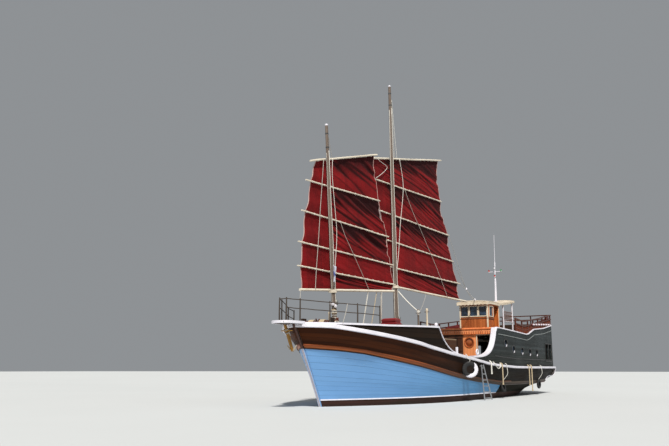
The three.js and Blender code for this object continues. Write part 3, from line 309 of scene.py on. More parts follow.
white = (0.80, 0.78, 0.84)
onHull = dict(source="plank", across=(0, 1, 0), width=1.0, seam=0.03)
ownGrain = dict(source="grain")
turned = dict(source="grain", width=3.0, seam=0.002)
upright = dict(along=(0, 0, 1), across=(0, 1, 0))
orangeWork = dict(upright, width=0.17, gloss=0.4, dirt=0.25, dirtColour=(0.15, 0.045, 0.014), coat=0.1)
onDeck = dict(across=(0, 1, 0), width=0.115, seam=0.07, dirt=0.4, depth=0.005)
pole = dict(width=2.0, seam=0.002, gloss=0.6, dirt=0.35, dirtColour=(0.20, 0.15, 0.11), grain=1.4)
finishes = {
    "blueHull": (timber, (0.225, 0.445, 0.76), (0.150, 0.335, 0.64), dict(
        onHull, gloss=0.42, tone=0.10, dirt=0.20, dirtColour=(0.085, 0.20, 0.36), depth=0.004, chips=0.02,
        chipColour=(0.36, 0.52, 0.72), coat=0.05, aft=(-9.0, 1.5, (0.38, 0.65, 0.69)))),
    "brownBand": (timber, (0.098, 0.028, 0.009), (0.030, 0.010, 0.005), dict(
        onHull, gloss=0.50, tone=0.25, dirt=0.45, dirtColour=(0.012, 0.008, 0.006), shine=0.045,
        aft=(-9.0, 1.0, (0.12, 0.30, 0.58)))),
    "orangeBand": (timber, (0.50, 0.150, 0.050), (0.24, 0.070, 0.024), dict(
        onHull, gloss=0.36, dirt=0.3, shine=0.1, aft=(-7.5, 1.0, (0.12, 0.24, 0.40)))),
    "darkHull": (timber, (0.018, 0.018, 0.014), (0.007, 0.007, 0.006), dict(
        onHull, gloss=0.8, shine=0.03, dirt=0.4, dirtColour=(0.020, 0.016, 0.010), chips=0.01, chipColour=(0.07, 0.05, 0.03))),
    "bottom": (timber, (0.050, 0.020, 0.016), (0.018, 0.010, 0.009), dict(
        onHull, gloss=0.75, dirt=0.5, dirtColour=(0.02, 0.024, 0.014))),
    "hullWood": (timber, (0.13, 0.062, 0.032), (0.045, 0.022, 0.014), dict(
        gloss=0.5, width=0.19, low=(0.10, 0.02, (0.40, 0.34, 0.48)))),
    "stemWood": (timber, (0.74, 0.71, 0.80), (0.52, 0.50, 0.60), dict(
        upright, gloss=0.42, width=0.4, low=(2.20, 2.23, (0.14, 0.055, 0.028)), flank=(0.050, 0.056, (0.29, 0.60, 0.92)))),
    "darkTimber": (timber, (0.050, 0.024, 0.015), (0.018, 0.010, 0.008), dict(gloss=0.42, coat=0.1)),
    "bulwark": (timber, (0.022, 0.013, 0.008), (0.008, 0.006, 0.005), dict(
        gloss=0.55, width=0.21, dirt=0.4, dirtColour=(0.008, 0.009, 0.008), shine=0.05)),
    "slate": (timber, (0.040, 0.051, 0.054), (0.013, 0.017, 0.018), dict(
        gloss=0.48, width=0.135, seam=0.05, dirt=0.4, dirtColour=(0.014, 0.013, 0.010), depth=0.010, chips=0.015,
        chipColour=(0.12, 0.13, 0.12), shine=0.12, low=(2.5, 1.9, (0.55, 0.55, 0.48)))),
    "orangeBoards": (timber, (0.52, 0.150, 0.042), (0.28, 0.068, 0.018), orangeWork),
    # painted shadow: from y 1.22 towards starboard the bulkhead boards are darkened for the sail's shade
    "bulkheadBoards": (timber, (0.96, 0.37, 0.15), (0.62, 0.19, 0.065), dict(
        orangeWork, starboard=(1.22, 0.95, (0.24, 0.22, 0.24)))),
    "orangeSide": (timber, (0.66, 0.175, 0.040), (0.34, 0.075, 0.017), dict(
        gloss=0.4, along=(0, 0, 1), across=(1, 0, 0), width=0.17, dirt=0.3, dirtColour=(0.10, 0.030, 0.012), coat=0.1)),
    "darkBoards": (timber, (0.075, 0.030, 0.017), (0.026, 0.013, 0.009), dict(upright, gloss=0.45, width=0.17, coat=0.1)),
    "deckBoards": (timber, (0.30, 0.21, 0.135), (0.15, 0.105, 0.068), dict(onDeck, gloss=0.75)),
    "mahogany": (timber, (0.17, 0.038, 0.016), (0.050, 0.013, 0.008), dict(gloss=0.36, width=3.0, seam=0.002, coat=0.15)),
    "mahoganyTurned": (timber, (0.19, 0.042, 0.017), (0.055, 0.014, 0.008), dict(turned, gloss=0.36, coat=0.15)),
    "darkRail": (timber, (0.060, 0.034, 0.024), (0.022, 0.014, 0.011), dict(gloss=0.45, width=3.0, seam=0.002, coat=0.1)),
    "mastWood": (timber, (0.215, 0.170, 0.140), (0.058, 0.042, 0.035), dict(
        source="grain", across=(0, 1, 0), width=0.25, seam=0.012, gloss=0.65, dirt=0.45, grain=1.6,
        dirtColour=(0.055, 0.030, 0.022), chips=0.05, chipColour=(0.42, 0.38, 0.34))),
    "battenWood": (timber, (0.80, 0.74, 0.62), (0.44, 0.37, 0.28), dict(
        pole, source="grain", chips=0.03, chipColour=(0.24, 0.17, 0.12))),
    "breakWood": (timber, (0.30, 0.21, 0.135), (0.15, 0.105, 0.068), dict(
        onDeck, gloss=0.7, low=(2.75, 2.70, (0.26, 0.14, 0.09)))),
    "moulding": (timber, (0.34, 0.085, 0.024), (0.15, 0.038, 0.012), dict(
        turned, gloss=0.38, aft=(4.0, 12.0, (0.28, 0.42, 0.60)))),
    "railWood": (timber, (0.085, 0.066, 0.054), (0.028, 0.022, 0.018), dict(turned, gloss=0.6, grain=1.5)),
    "anchorTimber": (timber, (0.56, 0.31, 0.06), (0.30, 0.145, 0.03), dict(turned, gloss=0.5, dirt=0.3, grain=1.3)),
    "paleTimber": (timber, (0.58, 0.50, 0.38), (0.34, 0.27, 0.19), dict(turned, gloss=0.6, dirt=0.3)),
    "anchorWood": (timber, (0.56, 0.31, 0.06), (0.30, 0.145, 0.03), dict(upright, width=0.4, seam=0.02, gloss=0.55, dirt=0.3)),
    "creamBoards": (timber, (0.72, 0.64, 0.52), (0.48, 0.39, 0.29), dict(
        gloss=0.6, across=(0, 1, 0), width=0.2, dirt=0.35, dirtColour=(0.20, 0.13, 0.08))),
    "creamTrim": (worn, (0.80, 0.72, 0.58), (0.55, 0.44, 0.31), dict(ownGrain, gloss=0.5)),
    "orangeTrim": (worn, (0.50, 0.125, 0.028), (0.28, 0.062, 0.016), dict(ownGrain, gloss=0.38)),
    "whiteTrim": (worn, white, (0.60, 0.59, 0.67), dict(ownGrain, gloss=0.42)),
    "whitePaint": (worn, white, (0.58, 0.57, 0.65), dict(gloss=0.42)),
    "brownTrim": (worn, (0.20, 0.066, 0.024), (0.09, 0.030, 0.012), dict(ownGrain, gloss=0.38)),
    "blackTrim": (worn, (0.020, 0.019, 0.018), (0.010, 0.010, 0.010), dict(ownGrain, gloss=0.45)),
    "paleTrim": (worn, (0.22, 0.24, 0.24), (0.11, 0.125, 0.125), dict(ownGrain, gloss=0.5)),
    "redTrim": (worn, (0.22, 0.020, 0.018), (0.09, 0.010, 0.010), dict(ownGrain, gloss=0.45)),
    "rubber": (worn, (0.009, 0.009, 0.010), (0.004, 0.004, 0.005), dict(ownGrain, gloss=0.7, dirtColour=(0.03, 0.028, 0.026))),
    "iron": (worn, (0.12, 0.12, 0.12), (0.055, 0.05, 0.048),
             dict(ownGrain, gloss=0.5, metallic=0.8, dirtColour=(0.16, 0.06, 0.03))),
    "galvanised": (worn, (0.50, 0.51, 0.52), (0.32, 0.32, 0.33), dict(ownGrain, gloss=0.4, metallic=0.9)),
    "greyTube": (worn, (0.44, 0.45, 0.47), (0.26, 0.27, 0.29), dict(gloss=0.4, metallic=0.7)),
    "bronze": (worn, (0.50, 0.34, 0.14), (0.20, 0.16, 0.08), dict(gloss=0.4, metallic=0.9, dirtColour=(0.05, 0.16, 0.12))),
    "engineGreen": (worn, (0.10, 0.16, 0.13), (0.05, 0.08, 0.07), dict(gloss=0.5, metallic=0.2)),
    "redLamp": (worn, (0.55, 0.02, 0.02), (0.30, 0.01, 0.01), dict(ownGrain, gloss=0.15)),
    "greenLamp": (worn, (0.02, 0.35, 0.10), (0.01, 0.18, 0.06), dict(ownGrain, gloss=0.15)),
    # the sails' last colour here is their painted shade, under the spars and in the folds, and also their seam colour
    "sailCloth": (canvasCloth, (0.215, 0.0062, 0.0080), (0.085, 0.0028, 0.0038), dict(
        sheen=0.03, fade=(0.33, 0.026, 0.026), stain=(0.011, 0.0014, 0.0020))),
    "boltRope": (worn, (0.60, 0.44, 0.40), (0.26, 0.09, 0.085), dict(ownGrain, gloss=0.8, speck=3.0, depth=0.001)),
    "cushionCloth": (canvasCloth, (0.24, 0.016, 0.020), (0.09, 0.007, 0.009), dict(fade=(0.30, 0.05, 0.05))),
    "flagCloth": (canvasCloth, (0.62, 0.64, 0.72), (0.40, 0.44, 0.56), dict(fade=(0.75, 0.75, 0.80), stain=(0.04, 0.09, 0.42))),
    "whiteRope": (ropeStuff, (0.82, 0.80, 0.74), (0.42, 0.40, 0.36)),
    "greyRope": (ropeStuff, (0.50, 0.47, 0.42), (0.20, 0.18, 0.16)),
    "tanRope": (ropeStuff, (0.62, 0.50, 0.33), (0.30, 0.22, 0.13)),
    "windowGlass": (paneGlass, (0.008, 0.014, 0.024), (0.035, 0.065, 0.115)),
    # painted reflection: the round windows' panes are orange-brown, a warm reflection coloured into the glass
    "warmGlass": (paneGlass, (0.16, 0.035, 0.012), (0.46, 0.13, 0.040)),
    "stage": (worn, (0.58, 0.60, 0.61), (0.55, 0.57, 0.58), dict(gloss=0.85, size=0.05, dirt=0.0, depth=0.0)),
    "rubberRow": (worn, (0.020, 0.020, 0.021), (0.009, 0.009, 0.010), dict(gloss=0.8)),
    "clothRow": (worn, (0.40, 0.012, 0.018), (0.15, 0.005, 0.008), dict(gloss=0.8)),
    "poleRow": (timber, (0.80, 0.74, 0.62), (0.44, 0.37, 0.28), pole),
}
paints = {name: make(name, *facts) for name, (make, *facts) in finishes.items()}
print("finishes made:", len(paints))


def gridFaces(rows, wide, closed=False, joined=True):
    # four-sided faces between rows of points; closed joins the last row to the first, joined each row's two ends
    faces = []
    for i in range(rows if closed else rows - 1):
        for k in range(wide if joined else wide - 1):
            here, there, step = i * wide, (i + 1) % rows * wide, (k + 1) % wide
            faces.append((here + k, here + step, there + step, there + k))
    return faces


def endFaces(rows, wide):
    return [tuple(reversed(range(wide))), tuple((rows - 1) * wide + k for k in range(wide))]


def vec(x, y, z):
    return Vector((x, y, z))


def spaced(start, end, steps):
    return [start + (end - start) * i / steps for i in range(steps + 1)]


def pointing(angle):
    return vec(math.cos(angle), math.sin(angle), 0)


def spokes(side, other, count):
    turns = [2 * math.pi * k / count for k in range(count)]
    return [side * math.cos(a) + other * math.sin(a) for a in turns]


# mesh code: every piece gathers its points, faces and grain lines here, and is then set down on a body
class Bench:
    def __init__(self):
        self.points, self.faces, self.grain, self.coats = [], [], [], []

    def add(self, points, faces, grain=None, coat=0):
        start = len(self.points)
        self.points += [Vector(p) for p in points]
        self.grain += [Vector(g) for g in (grain or points)]
        self.faces += [tuple(start + i for i in face) for face in faces]
        self.coats += coat if isinstance(coat, list) else [coat] * len(faces)

    def box(self, low, high, bevel=0.008, coat=0):
        # its edges and corners are cut off, so each corner of the box is three points
        low, high = Vector(low), Vector(high)
        size = high - low
        cut = min(bevel, min(size) * 0.3)
        corners, index = [], {}
        for key in product((0, 1), repeat=3):
            for axis in range(3):
                index[(*key, axis)] = len(corners)
                corners.append([(high if key[n] else low)[n] + (0 if n == axis else -cut if key[n] else cut) for n in range(3)])
        faces = []
        for axis in range(3):
            a, b = [i for i in range(3) if i != axis]

            def spot(end, u, v, name):
                place = {axis: end, a: u, b: v}
                return index[(place[0], place[1], place[2], name)]
            faces += [tuple(spot(end, u, v, axis) for u, v in ((0, 0), (1, 0), (1, 1), (0, 1))) for end in (0, 1)]
            for u, v in product((0, 1), repeat=2):
                faces.append((spot(0, u, v, a), spot(1, u, v, a), spot(1, u, v, b), spot(0, u, v, b)))
        faces += [tuple(index[(*key, axis)] for axis in range(3)) for key in product((0, 1), repeat=3)]
        longest = max(range(3), key=lambda n: size[n])
        order = sorted(range(3), key=lambda n: n != longest)
        self.add(corners, faces, [[p[n] for n in order] for p in corners], coat)

    def tube(self, path, radius, sides=8, coat=0, closed=False):
        path = [Vector(p) for p in path]
        count = len(path)
        radii = radius if isinstance(radius, (list, tuple)) else [radius] * count
        along, points, grain = 0.0, [], []
        tangents = []
        for i in range(count):
            before = path[(i - 1) % count] if closed or i else path[0]
            after = path[(i + 1) % count] if closed or i < count - 1 else path[-1]
            tangents.append((after - before).normalized())
        side = tangents[0].orthogonal().normalized()
        for i, p in enumerate(path):
            if i:
                along += (p - path[i - 1]).length
                side = (side - tangents[i] * side.dot(tangents[i])).normalized()
            points += [p + out * radii[i] for out in spokes(side, tangents[i].cross(side), sides)]
            grain += [(along, k / sides, radii[i]) for k in range(sides)]
        self.add(points, gridFaces(count, sides, closed) + ([] if closed else endFaces(count, sides)), grain, coat)

    def lathe(self, start, end, profile, sides=12, coat=0):
        # profile holds (share of the length, radius); end caps are flat
        start, end = Vector(start), Vector(end)
        path = [start.lerp(end, share) for share, _ in profile]
        nudged = [path[0]]
        for p in path[1:]:
            step = (end - start).normalized() * 1e-4
            nudged.append(p if (p - nudged[-1]).length > 5e-5 else nudged[-1] + step)
        self.tube(nudged, [radius for _, radius in profile], sides, coat)

    def sweep(self, path, outs, section, ups=None, coat=0):
        # section holds (out, up) pairs, carried along the path
        count = len(path)
        points, grain, along = [], [], 0.0
        for i, p in enumerate(path):
            p = Vector(p)
            if i:
                along += (p - Vector(path[i - 1])).length
            out = Vector(outs[i] if isinstance(outs, list) else outs)
            up = Vector(ups[i] if isinstance(ups, list) else (ups or (0, 0, 1)))
            shape = section(i / (count - 1)) if callable(section) else section
            for a, b in shape:
                points.append(p + out * a + up * b)
                grain.append((along, b, a))
        wide = len(shape)
        self.add(points, gridFaces(count, wide) + endFaces(count, wide), grain, coat)

    def ring(self, centre, axis, radius, thick, sides=24, around=8, coat=0, flat=1.0):
        # a torus about an axis; flat below 1 squeezes it along the axis
        centre, axis = Vector(centre), Vector(axis).normalized()
        side = axis.orthogonal().normalized()
        points, grain = [], []
        for i, out in enumerate(spokes(side, axis.cross(side), sides)):
            points += [centre + out * radius + off for off in spokes(out * thick, axis * thick * flat, around)]
            grain += [(2 * math.pi * radius * i / sides, k / around, thick) for k in range(around)]
        self.add(points, gridFaces(sides, around, closed=True), grain, coat)

    def disc(self, centre, axis, radius, sides=24, coat=0, dome=0.0):
        centre, axis = Vector(centre), Vector(axis).normalized()
        side = axis.orthogonal().normalized()
        outs = spokes(side, axis.cross(side), sides)
        points, faces = [centre + axis * dome], []
        for share, lift in ((0.6, 0.75), (1.0, 0.0)):
            points += [centre + out * radius * share + axis * dome * lift for out in outs]
        for i in range(sides):
            j = (i + 1) % sides
            faces.append((0, 1 + i, 1 + j))
            faces.append((1 + i, 1 + sides + i, 1 + sides + j, 1 + j))
        self.add(points, faces, None, coat)

    def set(self, name, coats, body="root", slot=None, sharp=32, replaces=(), grainName="grain"):
        data = bpy.data.meshes.new(name)
        data.from_pydata([tuple(p) for p in self.points], [], self.faces)
        grain = data.attributes.new(grainName, "FLOAT_VECTOR", "POINT")
        grain.data.foreach_set("vector", [c for g in self.grain for c in g])
        for coat in coats if isinstance(coats, (list, tuple)) else [coats]:
            data.materials.append(paints[coat])
        data.polygons.foreach_set("material_index", self.coats)
        made = bpy.data.objects.new(name, data)
        put(made)
        shaped = bmesh.new()
        shaped.from_mesh(data)
        bmesh.ops.recalc_face_normals(shaped, faces=shaped.faces)
        shaped.to_mesh(data)
        shaped.free()
        data.polygons.foreach_set("use_smooth", [True] * len(data.polygons))
        if sharp:
            data.set_sharp_from_angle(angle=math.radians(sharp))
        if body:
            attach(made, body)
        if replaces:
            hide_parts(*replaces)
        return made


def between(table, x):
    # tables run from the bow aft
    if x >= table[0][0]:
        return table[0][1]
    for (xa, a), (xb, b) in zip(table, table[1:]):
        if x >= xb:
            return a + (b - a) * (xa - x) / (xa - xb)
    return table[-1][1]


def smoothPath(points, steps=8):
    # a soft curve through the points
    points = [Vector(p) for p in points]
    line = []
    for i in range(len(points) - 1):
        a, b = points[max(0, i - 1)], points[i]
        c, d = points[i + 1], points[min(len(points) - 1, i + 2)]
        for k in range(steps):
            t = k / steps
            line.append(0.5 * (2 * b + (c - a) * t + (2 * a - 5 * b + 4 * c - d) * t * t + (3 * b - a - 3 * c + d) * t ** 3))
    return line + [points[-1]]


rounded = lambda w, h, r: [(0, -h / 2), (w - r, -h / 2), (w, -h / 2 + r), (w, h / 2 - r), (w - r, h / 2), (0, h / 2)]

# the hull's lines, as in the frame: ends, greatest half-breadth and heights of each
hullKeys = ("stem", "stern", "beam", "full", "blunt", "round", "run", "aft", "heights")
hullTable = {name: dict(zip(hullKeys, row)) for name, *row in (
    ("sheer", 12.25, -12.7, 2.98, 0.36, 2.6, 0.68, 0.5, 2.25,
     [(12.25, 3.12), (11.4, 3.09), (10.4, 2.95), (9.5, 2.83), (8.4, 2.69), (7.2, 2.53), (6.4, 2.39), (4.7, 2.17),
      (2.1, 1.93), (0.15, 1.73), (-1.3, 1.65), (-3.7, 1.58), (-7, 1.57), (-12.7, 1.58)]),
    ("boundary", 11.68, -12.15, 2.82, 0.36, 2.4, 0.9, 0.5, 2.12,
     [(11.68, 2.22), (10.5, 2.13), (9.6, 2.03), (8.9, 1.9), (7.9, 1.73), (6.7, 1.54), (5.3, 1.31), (4.4, 1.17),
      (3.4, 1.04), (1.3, 0.85), (-1.5, 0.67), (-6, 0.66), (-10.2, 0.72), (-11, 0.92), (-12.15, 1.04)]),
    ("topside", 11.1, -11.7, 2.74, 0.36, 2.3, 1, 0.48, 1.5,
     [(11.1, 1.2), (8, 0.98), (4.3, 0.7), (-1.5, 0.48), (-6, 0.45), (-11.7, 0.7)]),
    ("bootLine", 10.58, -11.25, 2.64, 0.36, 2.2, 1.1, 0.45, 0.95,
     [(10.58, 0.26), (5.5, 0.29), (-2, 0.3), (-7, 0.26), (-11.25, 0.48)]),
    ("turn", 10.2, -9.95, 2.25, 0.42, 2.6, 1.1, 0.4, 0.15,
     [(10.2, -0.55), (-6, -0.6), (-9.95, -0.45)]),
    ("garboard", 9.7, -9.65, 0.14, 0.1, 2.6, 1, 0.9, 0.11,
     [(9.7, -1.15), (-9.65, -1.15)]),
)}
stemHalf = 0.06


def breadth(line, share):
    row = hullTable[line]
    bow = (1 - (1 - min(share / row["full"], 1)) ** row["blunt"]) ** row["round"]
    run = max(0, (share - row["run"]) / (1 - row["run"]))
    return stemHalf + (row["beam"] - stemHalf) * bow - (row["beam"] - row["aft"]) * run * run


def onLine(line, share):
    row = hullTable[line]
    x = row["stem"] + (row["stern"] - row["stem"]) * share
    return vec(x, breadth(line, share), between(row["heights"], x))


def breadthAt(line, x):
    row = hullTable[line]
    return breadth(line, min(1, max(0, (row["stem"] - x) / (row["stem"] - row["stern"]))))


def heightAt(line, x):
    return between(hullTable[line]["heights"], x)


def sheerY(x):
    return breadthAt("sheer", x)


def sheerZ(x):
    return heightAt("sheer", x)


def sideY(x, z):
    return between([(heightAt(n, x), breadthAt(n, x)) for n in ("sheer", "boundary", "topside", "bootLine")], z)


def mirrored(p, side):
    return vec(p[0], p[1] * side, p[2])


# hull planking: one plank skin on both sides, in bands of paint
planking = {
    "bands": [("sheer", "boundary", 6), ("boundary", "topside", 4), ("topside", "bootLine", 5), ("bootLine", "turn", 5),
              ("turn", "garboard", 4)],
    "stations": 130, "proud": 0.008, "low": 0.024, "lowRow": 19, "ends": -0.004, "blueEnd": -1.5,
    "firstRows": {"orange": 5, "blue": 6, "bottom": 15},
}


def makePlanking():
    work = Bench()
    shares = [(i / planking["stations"]) ** 1.35 for i in range(planking["stations"] + 1)]
    for side in (1, -1):
        rows = [(a, b, k / count) for a, b, count in planking["bands"] for k in range(count)]
        rows.append((*planking["bands"][-1][:2], 1.0))
        grid = [[onLine(a, share).lerp(onLine(b, share), t) for a, b, t in rows] for share in shares]
        points, grain = [], []
        for i, line in enumerate(grid):
            for j, p in enumerate(line):
                ahead = grid[min(i + 1, len(grid) - 1)][j] - grid[max(i - 1, 0)][j]
                down = line[min(j + 1, len(line) - 1)] - line[max(j - 1, 0)]
                out = ahead.cross(down).normalized()
                if out.y < 0:
                    out = -out
                lift = planking["low" if j >= planking["lowRow"] else "proud"] if 0 < i < len(grid) - 1 else planking["ends"]
                points.append(mirrored(p + out * lift, side))
                grain.append((-p.x, float(j), 0))
        # brown at the top, one orange row, blue forward and dark aft, and the bottom paint
        coats, first = [], planking["firstRows"]
        for i, j in product(range(len(grid) - 1), range(len(rows) - 1)):
            aft = grid[i][j].x + grid[i + 1][j].x <= 2 * planking["blueEnd"]
            coats.append(0 if j < first["orange"] else 1 if j < first["blue"] else 4 if j >= first["bottom"] else 3 if aft else 2)
        faces = gridFaces(len(grid), len(rows), joined=False)
        work.add(points, faces if side > 0 else [face[::-1] for face in faces], grain, coats)
    work.set("hull_planking", ["brownBand", "orangeBand", "blueHull", "darkHull", "bottom"], slot="hull_paint", sharp=50,
             grainName="plank")


makePlanking()
print("hull planked")

# mouldings along the hull's side
trim = {"strake": (0.165, 0.115, 0.07), "boot": 0.05, "mouldings": [(5 / 6, 0.62, 120, 0.042), (0.98, 1.0, 150, 0.03)]}


def sideLine(a, b, t, last, steps, side, proud=0.006):
    # from the stem aft to the share "last", between two of the hull's lines
    path, outs = [], []
    for share in spaced(0.0, last, steps):
        here = onLine(a, share).lerp(onLine(b, share), t)
        near = onLine(a, share + 1e-3).lerp(onLine(b, share + 1e-3), t)
        run = near - here
        out = vec(run.y, -run.x, 0).normalized()
        path.append(mirrored(here + out * proud, side))
        outs.append(mirrored(out, side))
    return path, outs


def makeTrim():
    work = Bench()
    tall, low, thick = trim["strake"]
    boot = hullTable["bootLine"]
    blueShare = (boot["stem"] - planking["blueEnd"]) / (boot["stem"] - boot["stern"])
    for side in (1, -1):
        path, outs = sideLine("sheer", "boundary", 0, 1.0, 150, side)
        work.sweep(path, outs, lambda t: [(a, b - 0.03) for a, b in rounded(thick, tall + (low - tall) * min(1, t * 2), 0.022)])
        path, outs = sideLine("topside", "bootLine", 1, blueShare, 90, side, 0.009)
        work.sweep(path, outs, rounded(0.012, trim["boot"], 0.004))
    work.set("white_strakes", "whiteTrim", slot="white_paint")
    work = Bench()
    half = [(0.0, -0.5), (0.55, -0.42), (0.95, -0.16), (0.95, 0.16), (0.55, 0.42), (0.0, 0.5)]
    for side in (1, -1):
        for n, (t, last, steps, size) in enumerate(trim["mouldings"]):
            path, outs = sideLine("sheer", "boundary", t, last, steps, side)
            work.sweep(path, outs, [(a * size, b * size * 2) for a, b in half], coat=n)
    work.set("hull_mouldings", ["moulding", "darkTimber"], slot="varnished_wood")


makeTrim()

# stern: a white scroll runs down the counter from the end of each strake, with a dark board inside it
bracket = {
    "scroll": [(-12.70, 1.50), (-12.72, 1.22), (-12.62, 1.10), (-12.28, 1.05), (-11.6, 1.05), (-11.18, 1.02), (-10.85, 0.96),
               (-10.65, 0.88), (-10.45, 0.80)],
    "board": [(-12.10, 1.06), (-12.60, 1.54)], "rim": 0.029, "proud": 0.02, "thick": 0.05,
    "edging": [(-8.0, -10.2, 0.07), (-2.0, -9.5, 0.045)],
}


def makeBrackets():
    work = Bench()
    edging = Bench()
    for side in (1, -1):
        line = smoothPath([(x, 0, z) for x, z in bracket["scroll"]], 5)
        skin = [vec(p.x, side * (sideY(max(p.x, -12.1), p.z) + bracket["proud"]), p.z) for p in line]
        work.tube(skin, bracket["rim"], 8)
        ending = skin[:16] + [vec(x, side * (sideY(-12.1, z) + bracket["proud"]), z) for x, z in bracket["board"]]
        inner = [p - vec(0, side * bracket["thick"], 0) for p in ending]
        work.add(ending + inner, gridFaces(2, len(ending)) + endFaces(2, len(ending)), None, 1)
        for coat, (fore, aft, tall) in enumerate(bracket["edging"]):
            path = [vec(x, side * breadthAt("boundary", x), heightAt("boundary", x)) for x in spaced(fore, aft, 40)]
            edging.sweep(path, (0, side, 0), rounded(0.026, tall, 0.01), coat=coat)
    work.set("stern_scrolls", ["whiteTrim", "darkTimber"], slot="white_paint")
    edging.set("knuckle_edging", ["redTrim", "darkTimber"], slot="varnished_wood")


makeBrackets()

# castle: white caps, the broad white curve at its front, belts, porthole and gallery rims
castle = {
    "top": [(2.0, 1.99), (1.6, 2.0), (1.2, 2.02), (0.9, 2.045), (0.6, 2.085), (0.3, 2.15), (0.05, 2.23), (-0.16, 2.335), (-0.35, 2.47),
            (-0.5, 2.61), (-0.63, 2.78), (-0.74, 2.96), (-0.83, 3.14), (-0.9, 3.33), (-0.95, 3.5), (-1.6, 3.49), (-3.1, 3.44),
            (-5.9, 3.34), (-6.3, 3.37), (-7.6, 3.69), (-9.9, 3.85), (-12.4, 4.15)],
    "corner": 15, "ports": [(-2.3, 2.76), (-3.5, 2.46), (-5.0, 2.40), (-6.5, 2.36), (-8.0, 2.35)], "portRadius": 0.2,
    "gallery": {"aft": -11.9, "fore": -10.2, "low": 1.95, "high": 2.95, "rim": 0.05}, "set": 0.015, "wall": 0.09,
    "curve": {"wide": 0.27, "thick": 0.075, "proud": 0.02}, "cap": {"wide": 0.15, "tall": 0.05}, "moulding": 0.30, "belt": 0.42,
}


def castleY(x):
    return sheerY(x) - castle["set"]


def castleTop(x):
    return between(castle["top"], x)


def alongSide(fore, aft, height, side, steps=40, out=0.0):
    return [vec(x, side * (castleY(x) + out), height(x)) for x in spaced(fore, aft, steps)]


def edgeRun(spots, y):
    # a smooth path at the width y(x), and the way square to it in side view
    line = smoothPath([(x, 0, z) for x, z in spots], 3)
    path, ups = [], []
    for i, p in enumerate(line):
        step = line[min(i + 1, len(line) - 1)] - line[max(i - 1, 0)]
        ups.append(vec(step.z, 0, -step.x).normalized())
        path.append(vec(p.x, y(p.x), p.z))
    return path, ups


def capShape(wide, thick, cut):
    return [(0, -0.01), (wide, -0.01), (wide, thick - cut), (wide - cut, thick), (cut, thick), (0, thick - cut)]


def makeCastleTrim():
    work, belts, rings, panes = Bench(), Bench(), Bench(), Bench()
    curve, cap, g = castle["curve"], castle["cap"], castle["gallery"]
    for side in (1, -1):
        # the curve, from the strake up to the fascia
        path, ups = edgeRun(castle["top"][:castle["corner"]], lambda x: side * (castleY(x) + curve["proud"]))
        work.sweep(path, (0, -side, 0), capShape(curve["wide"], curve["thick"], 0.02),
                   ups=[u if u.z > 0 or (abs(u.z) < 0.5 and u.x > 0) else -u for u in ups])
        w, h, cut = cap["wide"] / 2, cap["tall"], 0.015
        line = alongSide(-0.9, -12.36, castleTop, side, 80, -castle["wall"] / 2)
        work.sweep(line, (0, side, 0), [(-w, -0.005), (w, -0.005), (w, h - cut), (w - cut, h), (cut - w, h), (-w, h - cut)])
        work.ring((1.30, side * (castleY(1.3) - 0.13), 2.25), (0, 1, 0), 0.12, 0.035, 20, 8)
        for x, z in castle["ports"]:
            y = side * castleY(x)
            rings.ring((x, y + side * 0.004, z), (0, 1, 0), castle["portRadius"] + 0.028, 0.034, 28, 8, flat=0.6)
            panes.disc((x, y - side * 0.055, z), (0, side, 0), castle["portRadius"] - 0.001, 28, dome=0.012)
            # a painted highlight: the lower after part of the rim's inside is white, a glint where the sun catches it
            turns = [math.radians(d) for d in range(-75, -14, 10)]
            lit = [(x - 0.172 * math.cos(a), y - side * 0.012, z + 0.172 * math.sin(a)) for a in turns]
            rings.tube(lit, [0.004] + [0.017] * 5 + [0.004], 7, coat=1)
        belt = alongSide(-0.6, -12.3, lambda x: sheerZ(x) + castle["belt"], side)
        belts.sweep(belt, (0, side, 0), rounded(0.020, 0.05, 0.01))
        moulding = alongSide(-1.2, -12.3, lambda x: castleTop(x) - castle["moulding"], side)
        belts.sweep(moulding, (0, side, 0), rounded(0.024, 0.045, 0.01), coat=1)
        for z in (g["low"] - g["rim"], g["high"]):
            path = alongSide(g["fore"] + g["rim"], g["aft"] - g["rim"], lambda x: z + g["rim"] / 2, side, 8, -0.02)
            belts.sweep(path, (0, side, 0), rounded(0.045, g["rim"], 0.01))
        for x, wide in ((g["aft"] - g["rim"], g["rim"]), (g["fore"], g["rim"]), (-11.095, 0.09)):
            y = castleY(x + wide / 2)
            low, high = sorted((side * (y - 0.02), side * (y + 0.026)))
            belts.box((x, low, g["low"]), (x + wide, high, g["high"]))
    work.set("castle_caps", "whiteTrim", slot="white_paint")
    belts.set("castle_belts", ["blackTrim", "paleTrim"], slot="slate_paint")
    rings.set("porthole_rings", ["blackTrim", "whiteTrim"], slot="white_paint")
    panes.set("porthole_panes", "windowGlass", slot="slate_paint")


makeCastleTrim()
print("castle trimmed")

# bow: white edging down the hollowed after end of each bulwark, and the round knob on its cap
bow = {
    "hollow": [(5.65, 3.21), (5.58, 3.13), (5.5, 3.0), (5.4, 2.86), (5.28, 2.73), (5.1, 2.57), (4.9, 2.44), (4.65, 2.31),
               (4.36, 2.20), (4.05, 2.15)],
    "edge": (0.15, 0.045, 0.012), "proud": 0.012, "knob": (5.78, 3.34, 0.075), "inboard": 0.07,
}


def makeBowTrim():
    work = Bench()
    for side in (1, -1):
        path, ups = edgeRun(bow["hollow"], lambda x: side * (sheerY(x) + bow["proud"]))
        work.sweep(path, (0, -side, 0), capShape(*bow["edge"]), ups=[u if u.x < 0 or u.z > 0 else -u for u in ups])
        x, z, r = bow["knob"]
        y = side * (sheerY(x) - bow["inboard"])
        profile = [(0, 0.035), (0.15, 0.035), (0.2, 0.055)]
        for k in range(1, 9):
            profile.append((0.2 + 0.8 * (1 - math.cos(math.pi * k / 8)) / 2, max(0.006, r * math.sin(math.pi * max(k, 0.8) / 8))))
        work.lathe((x, y, z - 0.13), (x, y, z + r), profile, 20)
    work.set("bulwark_edging", "whiteTrim", slot="white_paint")


makeBowTrim()

